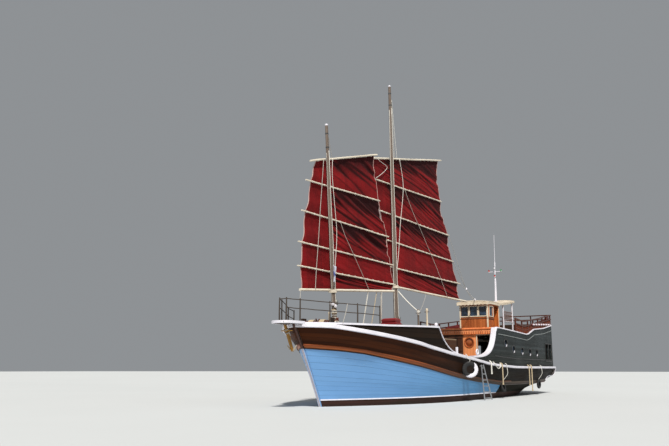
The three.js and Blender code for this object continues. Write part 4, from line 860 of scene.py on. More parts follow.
# bow: a railing of thin weathered poles, the anchor's plank, stock and flukes, and the platform's boards
bowRail = {
    "run": [(13.5, 4.06), (9.0, 3.86)], "nose": [(13.0, 0.16), (12.5, 0.43)], "deckPosts": [11.4, 10.4, 9.4], "inset": 0.08,
    "foot": 3.18, "deckFoot": 3.225, "post": 0.028, "rail": 0.017, "drops": (0, 0.33),
    "platform": [(12.3, 0.52), (13.02, 0.44), (13.22, 0.36), (13.3, 0.24), (13.32, 0.1)],
}
anchor = {
    "plank": [(12.86, 0.052, 0.035, 3.08), (12.74, 0.062, 0.038, 2.84), (12.56, 0.060, 0.038, 2.50), (12.36, 0.045, 0.036, 2.10)],
    "side": [(12.72, 0.05, 2.92), (12.60, 0.05, 2.68)], "stock": (12.745, 2.86, 0.25),
    "fluke": ((12.35, 0, 2.12), (12.42, 0.22, 2.33)),
}


def makeBowRail():
    work = Bench()
    chance = random.Random(11)
    crook = lambda p: Vector(p) + Vector([chance.uniform(-0.006, 0.006) for _ in range(3)])
    for side in (1, -1):
        posts = bowRail["nose"] + [(x, sheerY(x) - bowRail["inset"]) for x in bowRail["deckPosts"]]
        for i, (x, y) in enumerate(posts):
            top = between(bowRail["run"], x)
            foot = bowRail["foot" if i < 2 else "deckFoot"]
            work.tube([(x, side * y, foot), crook((x, side * y, (foot + top) / 2)), (x, side * y, top + 0.05)],
                      [bowRail["post"] * 1.1, bowRail["post"], bowRail["post"] * 0.85], 9)
            if i:
                xa, ya = posts[i - 1]
                for drop in bowRail["drops"]:
                    ends = [vec(a, side * b, between(bowRail["run"], a) - drop) for a, b in ((xa, ya), (x, y))]
                    bent = [crook(ends[0].lerp(ends[1], t)) for t in (0.25, 0.5, 0.75)]
                    work.tube([ends[0], *bent, ends[1]], bowRail["rail"], 8)
    x, y = bowRail["nose"][0]
    work.tube([(x, -y, between(bowRail["run"], x)), (x, y, between(bowRail["run"], x))], bowRail["rail"], 8)
    work.set("bow_rail_poles", "railWood", slot="dark_timber", replaces=["bow_railing"])
    work = Bench()
    rows = [[(x - hx, hy, z), (x + hx, hy, z), (x + hx, -hy, z), (x - hx, -hy, z)] for x, hx, hy, z in anchor["plank"]]
    points = [p for row in rows for p in row]
    work.add(points, gridFaces(len(rows), 4) + endFaces(len(rows), 4), [(p[2], p[1], p[0]) for p in points])
    # an iron strap down the plank's after edge
    work.tube([vec(x - 0.062, 0, z) for x, _, z in anchor["side"]], 0.03, 8, coat=1)
    x, z, half = anchor["stock"]
    work.tube([(x, -half, z), (x, 0, z), (x, half, z)], [0.018, 0.028, 0.018], 9)
    foot, tip = anchor["fluke"]
    for side in (1, -1):
        middle = Vector(foot).lerp(Vector(tip), 0.5) - vec(0, 0, 0.03)
        work.tube([foot, mirrored(middle, side), mirrored(tip, side)], [0.034, 0.032, 0.016], 8, coat=2)
    work.tube([(12.85, 0, 3.0), (12.85, 0, 3.13)], 0.026, 10, coat=1)
    work.set("anchor_plank", ["anchorTimber", "galvanised", "paleTimber"], slot="spar_wood", replaces=["wooden_anchor"])


def makePlatform():
    work = Bench()
    rim = [vec(x, y, 3.165) for x, y in bowRail["platform"]]
    rim += [mirrored(p, -1) for p in reversed(rim)]
    outs = []
    for i, p in enumerate(rim):
        run = rim[min(i + 1, len(rim) - 1)] - rim[max(i - 1, 0)]
        out = vec(run.y, -run.x, 0).normalized()
        outs.append(out if out.dot(p - vec(12.5, 0, 3.165)) > 0 else -out)
    work.sweep(rim, outs, [(-0.06, -0.05), (-0.01, -0.05), (0, -0.04), (0, 0.045), (-0.012, 0.055), (-0.06, 0.055)])
    # painted shade: the boards and the bearers under them are dark timber, for the shadow under the platform, inside a
    # white rim
    x = 12.30
    while x < 13.22:
        half = between([(-12.30, 0.47), (-13.02, 0.38), (-13.26, 0.22)], -x) if x > 12.4 else 0.44
        work.box((x, -half, 3.13), (x + 0.095, half, 3.195), coat=1)
        x += 0.1
    for y in (-0.3, 0.3):
        work.box((12.1, y - 0.04, 3.112), (13.0, y + 0.04, 3.14), coat=1)
    work.set("platform_boards", ["whiteTrim", "darkTimber"], slot="white_paint", replaces=["bow_platform"])


makeBowRail()
makePlatform()


def frameRound(a, b, low, high, wide):
    # the four boards round a window, as pairs of corners: under it, over it and at its two sides
    return [((a - wide, low - wide), (b + wide, low)), ((a - wide, high), (b + wide, high + wide)),
            ((a - wide, low), (a, high)), ((b, low), (b + wide, high))]


# front bulkhead: dark boards amidships, frames round the doorways, rings and panes for the round windows
front = {"face": -0.995, "half": 1.13, "low": 1.41, "high": 3.18, "boards": 14, "doors": (1.91, 2.60, 1.40, 3.15), "frame": 0.055,
         "window": (1.47, 2.79, 0.23), "fascia": {"x": -0.93, "low": 3.19, "high": 3.5, "beads": 44, "dark": 1.13}}


def makeFront():
    work = Bench()
    step = 2 * front["half"] / front["boards"]
    for i in range(front["boards"]):
        y = -front["half"] + i * step
        proud = 0.014 + 0.004 * (i % 2)
        work.box((front["face"] - 0.004, y + 0.003, front["low"]), (front["face"] + proud, y + step - 0.003, front["high"]), 0.006)
    for z in (1.62, 2.35, 3.02):
        work.box((front["face"], -front["half"], z), (front["face"] + 0.035, front["half"], z + 0.09), 0.01)
    work.set("bulkhead_boards", "darkBoards", slot="varnished_wood")
    work, panes = Bench(), Bench()
    y0, y1, z0, z1 = front["doors"]
    f, face = front["frame"], front["face"]
    for side in (1, -1):
        for low, high in (((y0 - f, z0), (y0, z1 + f)), ((y1, z0), (y1 + f, z1 + f)), ((y0, z1), (y1, z1 + f))):
            a, b = sorted((side * low[0], side * high[0]))
            work.box((face - 0.005, a, low[1]), (face + 0.022, b, high[1]))
        y, z, r = front["window"]
        work.ring((face + 0.004, side * y, z), (1, 0, 0), r + 0.02, 0.032, 32, 8, coat=1, flat=0.7)
        # the round windows' panes carry a painted reflection, orange-brown
        panes.disc((face - 0.05, side * y, z), (1, 0, 0), r - 0.001, 28, dome=0.01)
    # small turned beads under the fascia, and a rounded lip above it; to starboard of y 1.13 they are brown, a painted
    # shadow of the sail, and orange on the port wing
    rail = front["fascia"]
    span = castleY(-1) - 0.2
    bead = [(0, 0.014), (0.2, 0.026), (0.5, 0.014), (0.8, 0.026), (1, 0.014)]
    for y in spaced(-span, span, rail["beads"]):
        x, z = rail["x"] + 0.004, rail["low"] + 0.035
        work.lathe((x, y, z), (x, y, z + 0.14), bead, 8, coat=1 if y > rail["dark"] else 2)
    for z, tall in ((rail["low"] + 0.012, 0.03), (rail["high"] - 0.05, 0.05)):
        work.sweep([(rail["x"], rail["dark"], z), (rail["x"], span + 0.1, z)], (1, 0, 0), rounded(0.03, tall, 0.01), coat=1)
        work.sweep([(rail["x"], -span - 0.1, z), (rail["x"], rail["dark"], z)], (1, 0, 0), rounded(0.03, tall, 0.01), coat=2)
    work.set("bulkhead_frames", ["creamTrim", "orangeTrim", "brownTrim"], slot="orange_wood")
    panes.set("bulkhead_panes", "warmGlass", slot="slate_paint")


makeFront()

# transom: window frames with bars, panes, and a row of rings between two rails
transomTrim = {"face": -12.45, "windows": (-1.2, 0.0, 1.2), "half": 0.35, "low": 2.15, "high": 2.85, "frame": 0.06, "bar": 0.018,
               "rails": (3.35, 3.69), "reach": 2.12, "tall": 0.06, "rings": 9, "pitch": 0.225}


def makeTransomTrim():
    work, panes = Bench(), Bench()
    x, bar, reach = transomTrim["face"], transomTrim["bar"], transomTrim["reach"]
    z0, z1 = transomTrim["low"], transomTrim["high"]
    for y in transomTrim["windows"]:
        a, b, z = y - transomTrim["half"], y + transomTrim["half"], (z0 + z1) / 2
        bars = [((y - bar, z0), (y + bar, z1)), ((a, z - bar), (b, z + bar))]
        for low, high in frameRound(a, b, z0, z1, transomTrim["frame"]) + bars:
            work.box((x - 0.03, *low), (x + 0.02, *high))
        panes.box((x + 0.03, a - 0.001, z0 - 0.001), (x + 0.038, b + 0.001, z1 + 0.001), 0.002)
    for z in transomTrim["rails"]:
        work.sweep([(x, -reach, z), (x, reach, z)], (-1, 0, 0), rounded(0.035, transomTrim["tall"], 0.012))
    for i in range(-transomTrim["rings"], transomTrim["rings"] + 1):
        work.ring((x - 0.008, i * transomTrim["pitch"], sum(transomTrim["rails"]) / 2), (1, 0, 0), 0.07, 0.016, 18, 6)
    work.set("transom_frames", "creamTrim", slot="white_paint")
    panes.set("transom_panes", "windowGlass", slot="slate_paint")


makeTransomTrim()
print("bulkhead and transom trimmed")

# wheelhouse: cream window frames and panes, thick decorated fascia, lattice under the after roof
house = {
    "front": -5.25, "back": -7.0, "half": 0.85, "low": 4.45, "high": 4.98, "frame": 0.055,
    "frontWindows": [(-0.56, 0.22), (0.0, 0.22), (0.56, 0.22)], "backWindow": (0.0, 0.4),
    "sideWindows": {1: [(-6.05, -5.5)], -1: [(-6.05, -5.5), (-6.8, -6.25)]},
    "posts": (3.36, 5.08), "sill": 4.30, "sillEnds": {1: -6.18, -1: -7.0}, "boards": (3.40, 4.26),
    "roof": [(-5.06, 5.19), (-5.6, 5.24), (-6.3, 5.235), (-7.04, 5.21), (-7.7, 5.263), (-8.3, 5.338), (-8.9, 5.434), (-9.5, 5.53)],
    "roofHalf": 0.90, "fascia": (0.17, 0.04), "scallop": 0.105,
    "awning": {"y": 0.84, "posts": (-7.76, -9.3), "rail": 4.25},
}


def makeHouseTrim():
    work, panes, boards = Bench(), Bench(), Bench()
    f, half = house["frame"], house["half"]
    z0, z1 = house["low"], house["high"]
    ends = [(house["front"], 1, *window) for window in house["frontWindows"]] + [(house["back"], -1, *house["backWindow"])]
    for x, out, y, w in ends:
        near, far = sorted((x - out * 0.01, x + out * 0.028))
        for low, high in frameRound(y - w, y + w, z0, z1, f):
            work.box((near, *low), (far, *high))
        panes.box((x - out * 0.04, y - w - 0.001, z0 - 0.001), (x - out * 0.03, y + w + 0.001, z1 + 0.001), 0.002)
    for side, windows in house["sideWindows"].items():
        near, far = sorted((side * (half - 0.01), side * (half + 0.028)))
        for a, b in windows:
            for low, high in frameRound(a, b, z0, z1, f):
                work.box((low[0], near, low[1]), (high[0], far, high[1]))
            y = side * (half - 0.035)
            panes.box((a - 0.001, y - 0.004, z0 - 0.001), (b + 0.001, y + 0.004, z1 + 0.001), 0.002)
    # corner posts and the sill band under the windows
    low, high = house["posts"]
    for x, out in ((house["front"], 1), (house["back"], -1)):
        for side in (1, -1):
            xs, ys = sorted((x - out * 0.06, x + out * 0.024)), sorted((side * (half - 0.06), side * (half + 0.024)))
            work.box((xs[0], ys[0], low), (xs[1], ys[1], high), 0.012)
    x, z, band = house["front"], house["sill"], rounded(0.03, 0.06, 0.012)
    work.sweep([(x, -half, z), (x, half, z)], (1, 0, 0), band, coat=1)
    for side, aft in house["sillEnds"].items():
        work.sweep([(x, side * half, z), (aft, side * half, z)], (0, side, 0), band, coat=1)
    # raised boards low on the front
    low, high = house["boards"]
    for i in range(8):
        y = -0.8 + i * 0.2
        boards.box((x - 0.002, y + 0.008, low), (x + 0.014, y + 0.192, high), 0.007)
    work.set("house_frames", ["creamTrim", "brownTrim"], slot="orange_wood")
    panes.set("house_panes", "windowGlass", slot="slate_paint")
    boards.set("house_front_boards", "orangeBoards", slot="orange_wood")


def makeFascia():
    # a thick board round the roof's edge with scallops cut under it, and a bead above
    work = Bench()
    tall, thick = house["fascia"]
    half = house["roofHalf"]
    run = [vec(x, 0, z) for x, z in house["roof"]]
    line = [a.lerp(b, k / 10) for a, b in zip(run, run[1:]) for k in range(10)] + [run[-1]]
    for side in (1, -1):
        points, grain = [], []
        along = 0.0
        for i, p in enumerate(line):
            along += (p - line[i - 1]).length if i else 0
            drop = 0.03 + 0.035 * abs(math.sin(math.pi * along / (2 * house["scallop"])))
            foot = (drop - tall) * (1 if p.x > house["back"] else 0.45)
            for out, up in ((0.0, 0.035), (thick, 0.035), (thick, foot), (0.0, foot)):
                points.append(vec(p.x, side * (half - 0.005 + out), p.z + up))
                grain.append((along, up, out))
        work.add(points, gridFaces(len(line), 4) + endFaces(len(line), 4), grain)
        work.tube([vec(p.x, side * (half + thick * 0.6), p.z + 0.035) for p in line], 0.024, 6)
    for x, z, out in ((run[0].x, run[0].z, 1), (run[-1].x, run[-1].z, -1)):
        near, far = sorted((x - out * 0.005, x + out * thick))
        edges = spaced(-half - thick, half + thick, 17)
        for i, (ya, yb) in enumerate(zip(edges, edges[1:])):
            crown = 0.07 * (1 - ((ya + yb) / 2 / half) ** 2)
            foot = (0.04 + 0.02 * (i % 2) - tall) * (1 if out > 0 else 0.45)
            work.box((near, ya, z + foot), (far, yb, z + 0.04 + crown), 0.006)
        rim = [vec(x + out * thick * 0.7, y, z + 0.045 + 0.07 * (1 - (y / half) ** 2)) for y in spaced(-half, half, 16)]
        work.tube(rim, 0.024, 6)
    work.set("roof_fascia", "creamTrim", slot="roof_paint")


def makeLattice():
    work = Bench()
    a = house["awning"]
    fore, aft = a["posts"]
    for side in (1, -1):
        for k in range(3):
            z = 4.42 + k * 0.20
            work.box((aft, side * a["y"] - 0.015, z), (fore, side * a["y"] + 0.015, z + 0.03), 0.006)
        for x in spaced(aft, fore, 8)[1:-1]:
            work.box((x - 0.013, side * a["y"] - 0.013, a["rail"]), (x + 0.013, side * a["y"] + 0.013, 4.86), 0.005)
    work.set("awning_lattice", "brownTrim", slot="varnished_wood")


makeHouseTrim()
makeFascia()
makeLattice()
print("wheelhouse trimmed")

# poop railing: turned balusters, a third rail, dark red panels and a row of small knobs along the castle's cap
poop = {
    "rail": [(-4.1, 4.18), (-5.6, 4.08), (-7, 4.23), (-9, 4.45), (-12.3, 4.85)], "inset": 0.045, "pitch": 0.145,
    "rods": (-4.25, -12.2),
    "panel": (-4.2, -12.1), "middle": 0.26, "knobs": (-7.2, -12.1, 0.21), "rod": [(-7.2, 3.95), (-9.4, 4.06), (-12.1, 4.19)],
    "baluster": [(0, 0.022), (0.1, 0.022), (0.16, 0.014), (0.3, 0.030), (0.45, 0.013), (0.6, 0.013), (0.75, 0.026), (0.86, 0.014),
                 (0.92, 0.022), (1, 0.022)],
    "knob": [(0, 0.02), (0.15, 0.036), (0.5, 0.042), (0.8, 0.032), (1, 0.008)],
}


def makePoopTrim():
    work, knobs = Bench(), Bench()
    fore, aft = poop["rods"]
    for side in (1, -1):
        for i in range(int((fore - aft) / poop["pitch"]) + 1):
            x = fore - i * poop["pitch"]
            y = side * (castleY(x) - poop["inset"])
            low, high = castleTop(x) + castle["cap"]["tall"] - 0.005, between(poop["rail"], x) - poop["middle"] - 0.028
            if high - low > 0.12:
                work.lathe((x, y, low), (x, y, high), poop["baluster"], 8)
        halfWay = lambda x: (castleTop(x) + between(poop["rail"], x) - poop["middle"]) / 2
        work.sweep(alongSide(-4.2, -12.2, halfWay, side, 60, -poop["inset"] - 0.02), (0, side, 0), rounded(0.04, 0.05, 0.012))
        # thin panel behind the balusters
        path = alongSide(*poop["panel"], castleTop, side, 60, -poop["inset"] - 0.045)
        work.sweep(path, (0, -side, 0), lambda t: [(0, 0.04), (0.014, 0.04), (0.014, 0.14 + 0.5 * t), (0, 0.14 + 0.5 * t)], coat=1)
        start, end, pitch = poop["knobs"]
        rodAt = lambda x: vec(x, side * (castleY(x) - poop["inset"] + 0.042), between(poop["rod"], x))
        knobs.tube([rodAt(x) for x in spaced(start, end, 30)], 0.014, 8, coat=1)
        for i in range(int((start - end) / pitch)):
            spot = rodAt(start - pitch * (i + 0.5))
            knobs.lathe(spot - vec(0, 0, 0.03), spot + vec(0, 0, 0.065), poop["knob"], 8, 0 if i % 3 else 1)
    work.set("poop_balusters", ["mahoganyTurned", "redTrim"], slot="varnished_wood")
    knobs.set("poop_knobs", ["whiteTrim", "redTrim"], slot="white_paint")


makePoopTrim()
print("poop railing filled")

# rig: each sail stands in its own frame, x forward and z up its mast
rigs = {
    "fore": {"x": 9.198, "rake": 4.4, "yaw": -5.5, "face": -0.225, "body": "foresail", "mast": (2.78, 11.65, 0.105, 0.062),
             "spars": [("yard", 10.02, 11.00, 0.96, 3.95), ("batten_1", 9.19, 8.82, 1.27, 3.99), ("batten_2", 7.90, 7.18, 1.61, 4.57),
                       ("batten_3", 6.62, 5.86, 1.88, 4.84), ("batten_4", 5.65, 4.95, 1.98, 4.90), ("boom", 4.69, 4.65, 1.91, 4.73)],
             "short": [(0.45, 0.22), (0.35, 0.08), (0.27, 0.12), (0.27, 0.22), (0.24, 0.05), (0.19, 0.12)],
             "hollow": [(0.01, 0.06), (0.10, 0.02), (0.06, 0.04), (0.05, 0.03), (0.02, 0.02)],
             # folds of each panel: how many, how high, how far they slant, how much cloth hangs over, how deep the
             # painted shadow reaches under the upper spar
             "folds": [(9, 0.115, 0.85, 0.060, 0.62), (13, 0.115, 0.80, 0.060, 0.58), (13, 0.105, 0.80, 0.055, 0.50),
                       (6, 0.030, 0.6, 0.018, 0.10), (12, 0.070, 1.10, 0.035, 0.36)],
             "calm": 0.34, "wide": 0.095},
    "main": {"x": 4.006, "rake": 1.7, "yaw": -3.0, "face": -0.245, "body": "mainsail", "mast": (2.78, 15.2, 0.125, 0.065),
             "spars": [("yard", 11.33, 12.57, 1.35, 5.55), ("batten_1", 10.34, 10.24, 1.40, 5.42), ("batten_2", 8.87, 8.46, 0.85, 6.17),
                       ("batten_3", 7.52, 7.05, 0.30, 6.54), ("batten_4", 6.25, 5.88, 0.25, 7.23), ("boom", 5.34, 4.93, 0.25, 7.87)],
             "short": [(0.08, 0.28), (0.08, 0.04), (0.08, 0.04), (0.06, 0.05), (0.05, 0.21), (0.05, 0.71)],
             "hollow": [(0.03, 0.22), (0.03, 0.20), (0.03, 0.18), (0.02, 0.10), (0.02, 0.14)],
             "folds": [(26, 0.068, 0.95, 0.045, 0.46), (22, 0.092, 0.72, 0.055, 0.50), (22, 0.085, 0.80, 0.050, 0.42),
                       (7, 0.028, 0.6, 0.018, 0.08), (12, 0.066, 0.9, 0.035, 0.34)],
             "calm": 0.20, "wide": 0.062},
}
sailCut = {"across": 180, "down": 36, "panel": (5.4, 1.3), "thick": 0.006, "battenRadius": 0.035, "sparRadius": 0.046,
           "most": 0.062, "least": -0.15, "edge": 0.016, "lacing": 0.42}


def rigFrame(rig):
    turn = Matrix.Rotation(math.radians(rig["rake"]), 4, "Y") @ Matrix.Rotation(math.radians(rig["yaw"]), 4, "Z")
    return Matrix.Translation((rig["x"], 0, 0)) @ turn


def mastUp(rig):
    return rigFrame(rig).to_3x3() @ vec(0, 0, 1)


def mastSpot(rig, z):
    return vec(rig["x"], 0, 0) + mastUp(rig) * z


def mastRadius(rig, z):
    foot, head, thick, thin = rig["mast"]
    return thick + (thin - thick) * (z - foot) / (head - foot)


def sparPoint(spar, x):
    rise, riseAft, fore, aft = spar[1:]
    return rise + (riseAft - rise) * (fore - x) / (fore + aft)


def sparAxis(rig, name):
    radius = sailCut["sparRadius"] if name in ("yard", "boom") else sailCut["battenRadius"]
    return rig["face"] + 0.93 * radius, radius


def foldRows(rig, panel, chance):
    # slanting ridges, from the upper spar down and aft: start, end, height, width
    count, high, slant = rig["folds"][panel][:3]
    first = rig["calm"] - 0.45
    rows = []
    for i in range(count):
        start = first + (0.98 - first) * (i + chance.uniform(-0.35, 0.35)) / count
        tall = high * chance.uniform(0.5, 1.0) * (1 if i % 2 else -0.8)
        rows.append((start, chance.uniform(-0.2, 0.15), start + slant * chance.uniform(0.85, 1.15), chance.uniform(0.9, 1.25),
                     tall, rig["wide"] * chance.uniform(0.6, 1.35)))
    return rows


def foldAt(rig, panel, rows, u, v, seed):
    high, hang, shadeWedge = (rig["folds"][panel][n] for n in (1, 3, 4))
    wide, tall = sailCut["panel"]
    depth, paintedShadowLine = 0.0, 0.0
    for u0, v0, u1, v1, ridge, width in rows:
        du, dv = (u1 - u0) * wide, (v1 - v0) * tall
        length = math.hypot(du, dv)
        pu, pv = (u - u0) * wide, (v - v0) * tall
        along = (pu * du + pv * dv) / length / length
        if -0.3 < along < 1.3:
            bow = 0.10 * math.sin(math.pi * min(1, max(0, along)))
            off = (pu * dv - pv * du) / length + bow
            # a sharp crest with long flanks, as pulled canvas makes
            ends = -((along - 0.5) / 0.6) ** 4
            depth += ridge * math.exp(ends - math.sqrt((off / width) ** 2 + 0.04) * 1.5)
            # a painted shadow line that lies under it
            if ridge > 0:
                paintedShadowLine += ridge / high * math.exp(ends - ((off + 0.75 * width) / (0.42 * width)) ** 2)
    calm = min(1, max(0.10, (u - rig["calm"] + 0.14) / 0.16))
    depth *= calm
    ripple = noise.noise(vec(u * 9 + v * 1.5, v * 6 - u * 7, seed)) * 0.016
    ripple += noise.noise(vec(u * 26, v * 7, seed + 4)) * 0.008
    body = -hang * math.sin(math.pi * min(1, v * 1.35)) + hang * 1.6 * math.sin(math.pi * v) * v * v
    hold = math.sin(math.pi * v) ** 0.5 if 0 < v < 1 else 0
    deep = (depth + ripple + body) * hold
    # eased at both limits, so that a ridge stays round where it meets the ropes' room
    middle, half = (sailCut["most"] + sailCut["least"]) / 2, (sailCut["most"] - sailCut["least"]) / 2
    eased = middle + half * math.tanh((deep - middle) / half) if hold else 0.0
    # painted shade: share 0 is darkest, a painted shadow under the spar aft of the mast, painted shade in the hollows
    # between ridges and painted shadow lines under the ridges
    aft = min(1, max(0.25, (u - rig["calm"] + 0.1) / 0.15))
    low = max(0, 1 - v / shadeWedge) ** 0.7 * aft
    hollow = 0.8 * min(1, max(0, -depth / 0.035)) + 1.1 * paintedShadowLine * calm * min(1, high / 0.05)
    return eased, 1 - min(1, low + hollow * (1 - v * 0.3))


def thicken(cloth, thickness):
    shell = cloth.modifiers.new("thickness", "SOLIDIFY")
    shell.thickness = thickness
    shell.offset = 0


def makeSail(key):
    rig = rigs[key]
    frameAt = rigFrame(rig)
    chance = random.Random(41 if key == "fore" else 57)
    wide, down = sailCut["across"], sailCut["down"]
    points, grain, luff, leech = [], [], [], []
    spars = rig["spars"]
    for panel in range(len(spars) - 1):
        rows = foldRows(rig, panel, chance)
        upper, lower = spars[panel], spars[panel + 1]
        cutUp, cutLow = rig["short"][panel], rig["short"][panel + 1]
        hollowFore, hollowAft = rig["hollow"][panel]
        ends = [(upper[3] - cutUp[0], -upper[4] + cutUp[1]), (lower[3] - cutLow[0], -lower[4] + cutLow[1])]
        for j in range(down if panel < len(spars) - 2 else down + 1):
            v = j / down
            bend = 4 * v * (1 - v)
            line = []
            for u in spaced(0, 1, wide):
                xa = ends[0][0] + (ends[0][1] - ends[0][0]) * u
                xb = ends[1][0] + (ends[1][1] - ends[1][0]) * u
                x = xa + (xb - xa) * v - hollowFore * bend * (1 - u) ** 3 + hollowAft * bend * u ** 3
                z = sparPoint(upper, xa) * (1 - v) + sparPoint(lower, xb) * v
                deep, share = foldAt(rig, panel, rows, u, v, panel * 3.7 + len(key))
                line.append(vec(x, rig["face"] - 0.012 + deep, z))
                # the third value is the painted shade share from foldAt
                grain.append((5 - x, 14 - z, share))
            points += line
            luff.append(line[0])
            leech.append(line[-1])
    work = Bench()
    work.add([frameAt @ p for p in points], gridFaces(len(luff), wide + 1, joined=False), grain)
    sail = work.set(key + "_sail_cloth", "sailCloth", rig["body"], "sail_cloth", sharp=None, replaces=[key + "_sail"],
                    grainName="cloth")
    thicken(sail, sailCut["thick"])
    # the roped edges, the lacing round each batten and spar
    work = Bench()
    for edge in (luff, leech):
        work.tube([frameAt @ p for p in edge[::2]], sailCut["edge"], 7)
    for spar, cut in zip(spars, rig["short"]):
        y, radius = sparAxis(rig, spar[0])
        x, last = spar[3] - cut[0] - 0.05, -spar[4] + cut[1] + 0.05
        along = vec(1, 0, -(spar[2] - spar[1]) / (spar[3] + spar[4])).normalized()
        while x > last:
            for nudge in (0, 0.022):
                centre = vec(x - nudge, y, sparPoint(spar, x - nudge))
                work.ring(frameAt @ centre, frameAt.to_3x3() @ along, radius + 0.004, 0.006, 14, 5, coat=1)
            x -= sailCut["lacing"] * chance.uniform(0.85, 1.15)
    edging = work.set(key + "_sail_edging", ["boltRope", "whiteRope"], rig["body"], "sail_cloth")


def makeSpars(key):
    # peeled poles: a little crooked, uneven in thickness, with knots
    rig = rigs[key]
    frameAt = rigFrame(rig)
    chance = random.Random(19 if key == "fore" else 23)
    for spar in rig["spars"][:-1]:
        y, radius = sparAxis(rig, spar[0])
        start, end = vec(spar[3], y, spar[1]), vec(-spar[4], y, spar[2])
        knots = [chance.uniform(0.03, 0.97) for _ in range(9)]
        seed = chance.uniform(0, 50)
        path, radii = [], []
        for t in spaced(0, 1, 56):
            p = start.lerp(end, t)
            # the wave must not push the pole off its cloth or into the mast
            p.z += 0.022 * noise.noise(vec(t * 4.0, seed, 0))
            p.y += 0.006 * noise.noise(vec(t * 5.0, 0, seed))
            knot = sum(math.exp(-((t - k) / 0.006) ** 2) for k in knots)
            tip = 1 if 0.012 < t < 0.988 else 0.82
            radii.append(radius * (0.92 + 0.14 * noise.noise(vec(t * 14, seed, 3)) + 0.10 * knot) * tip)
            path.append(frameAt @ p)
        work = Bench()
        work.tube(path, radii, 12)
        work.set(f"{key}_{spar[0]}_pole", "battenWood", rig["body"], "spar_wood", sharp=50, replaces=[f"{key}_{spar[0]}"])


for key in rigs:
    makeSail(key)
    makeSpars(key)
print("sails bent on")

# mastheads: white trucks and iron bands; feet: a step, pins in a collar, turns of rope, blocks and a coil
mastGear = {"truck": 0.06, "bands": (0.35, 0.95), "feet": {"fore": (3.42, 3.98), "main": (3.3, 3.6)}, "step": (0.21, 0.10),
            "blocks": [(20, 0.10), (95, 0.22), (60, 0.02), (150, 0.16), (-60, 0.12)],
            "pin": [(0, 0.008), (0.2, 0.011), (0.45, 0.012), (0.6, 0.018), (0.85, 0.02), (1, 0.008)],
            "block": [(0, 0.012), (0.12, 0.040), (0.4, 0.052), (0.6, 0.052), (0.88, 0.040), (1, 0.012)]}


def makeMastGear():
    trucks, bands, turns = Bench(), Bench(), Bench()
    for key, rig in rigs.items():
        foot, head = rig["mast"][:2]
        low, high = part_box(key + "mast")
        up = mastUp(rig)
        top = (high[2] - 0.075) / up.z
        stick = Bench()
        heights = spaced(low[2], top, 60)
        path = [mastSpot(rig, z) for z in heights]
        crooked = [1 + 0.03 * noise.noise(vec(z * 1.3, 0, rig["x"])) for z in heights]
        stick.tube(path, [mastRadius(rig, max(z, foot)) * more for z, more in zip(heights, crooked)], 28)
        wide, tall = mastGear["step"]
        step = [(0, wide), (0.8, wide), (1, wide - 0.03)]
        stick.lathe((path[0].x, 0, low[2]), (path[0].x + 0.003, 0, low[2] + tall), step, 28, coat=1)
        stick.set(key + "_mast_stick", ["mastWood", "darkTimber"], slot="mast_wood", sharp=50, replaces=[key + "mast"])
        headTop = mastSpot(rig, top)
        slopes = [math.radians(d) for d in range(-50, 91, 10)]
        ball = [(0.5 + 0.5 * math.sin(a), max(0.008, mastGear["truck"] * 1.15 * math.cos(a))) for a in slopes]
        trucks.lathe(headTop - up * 0.05, headTop + up * 0.072, [(0, mastGear["truck"])] + ball, 18)
        for drop in mastGear["bands"]:
            spot, r = mastSpot(rig, head - drop), mastRadius(rig, head - drop)
            hoop = [(0, r + 0.001), (0.05, r + 0.008), (0.95, r + 0.008), (1, r + 0.001)]
            bands.lathe(spot - up * 0.03, spot + up * 0.03, hoop, 20)
            bands.ring(spot + vec(-r - 0.022, 0, 0), (0, 1, 0), 0.020, 0.006, 14, 6)
        low, high = mastGear["feet"][key]
        spot, r = mastSpot(rig, low), mastRadius(rig, low)
        # belaying pins stand in a collar round the mast
        bands.lathe(spot - up * 0.025, spot + up * 0.025, [(0, r), (0.1, r + 0.075), (0.9, r + 0.075), (1, r)], 24, coat=1)
        for k in range(8):
            pin = spot + pointing(2 * math.pi * (k + 0.5) / 8) * (r + 0.05)
            bands.lathe(pin - up * 0.11, pin + up * 0.13, mastGear["pin"], 8, coat=1)
        z = low + 0.1
        chance = random.Random(5)
        while z < high:
            turns.ring(mastSpot(rig, z), up, mastRadius(rig, z) + 0.012, 0.012, 26, 6, coat=int(chance.random() < 0.35))
            z += 0.025 if chance.random() < 0.75 else 0.09
        # blocks seized above the pins, and a coil dropped over one of them
        for k, (turn, lift) in enumerate(mastGear["blocks"]):
            arm = pointing(math.radians(turn)) * (mastRadius(rig, high + lift) + 0.052)
            spot = mastSpot(rig, high + lift) + arm
            trucks.lathe(spot - up * 0.075, spot + up * 0.075, mastGear["block"], 12, coat=k % 2)
            turns.ring(spot, arm, 0.058, 0.009, 16, 6)
        out = pointing(math.radians(60))
        for k in range(6):
            centre = mastSpot(rig, low - 0.02 - 0.006 * k) + out * (r + 0.055 + 0.012 * k)
            turns.ring(centre - up * 0.10, (out.x + 0.1 * (k - 2), out.y, 0.05 * k), 0.10 + 0.006 * (k % 3), 0.011, 24, 6)
    trucks.set("mast_trucks", ["whiteTrim", "paleTrim"], slot="white_paint")
    bands.set("mast_bands", ["iron", "mahoganyTurned"], slot="cast_iron")
    turns.set("mast_turns", ["whiteRope", "tanRope"], slot="mast_wood")


makeMastGear()
print("mast gear set")

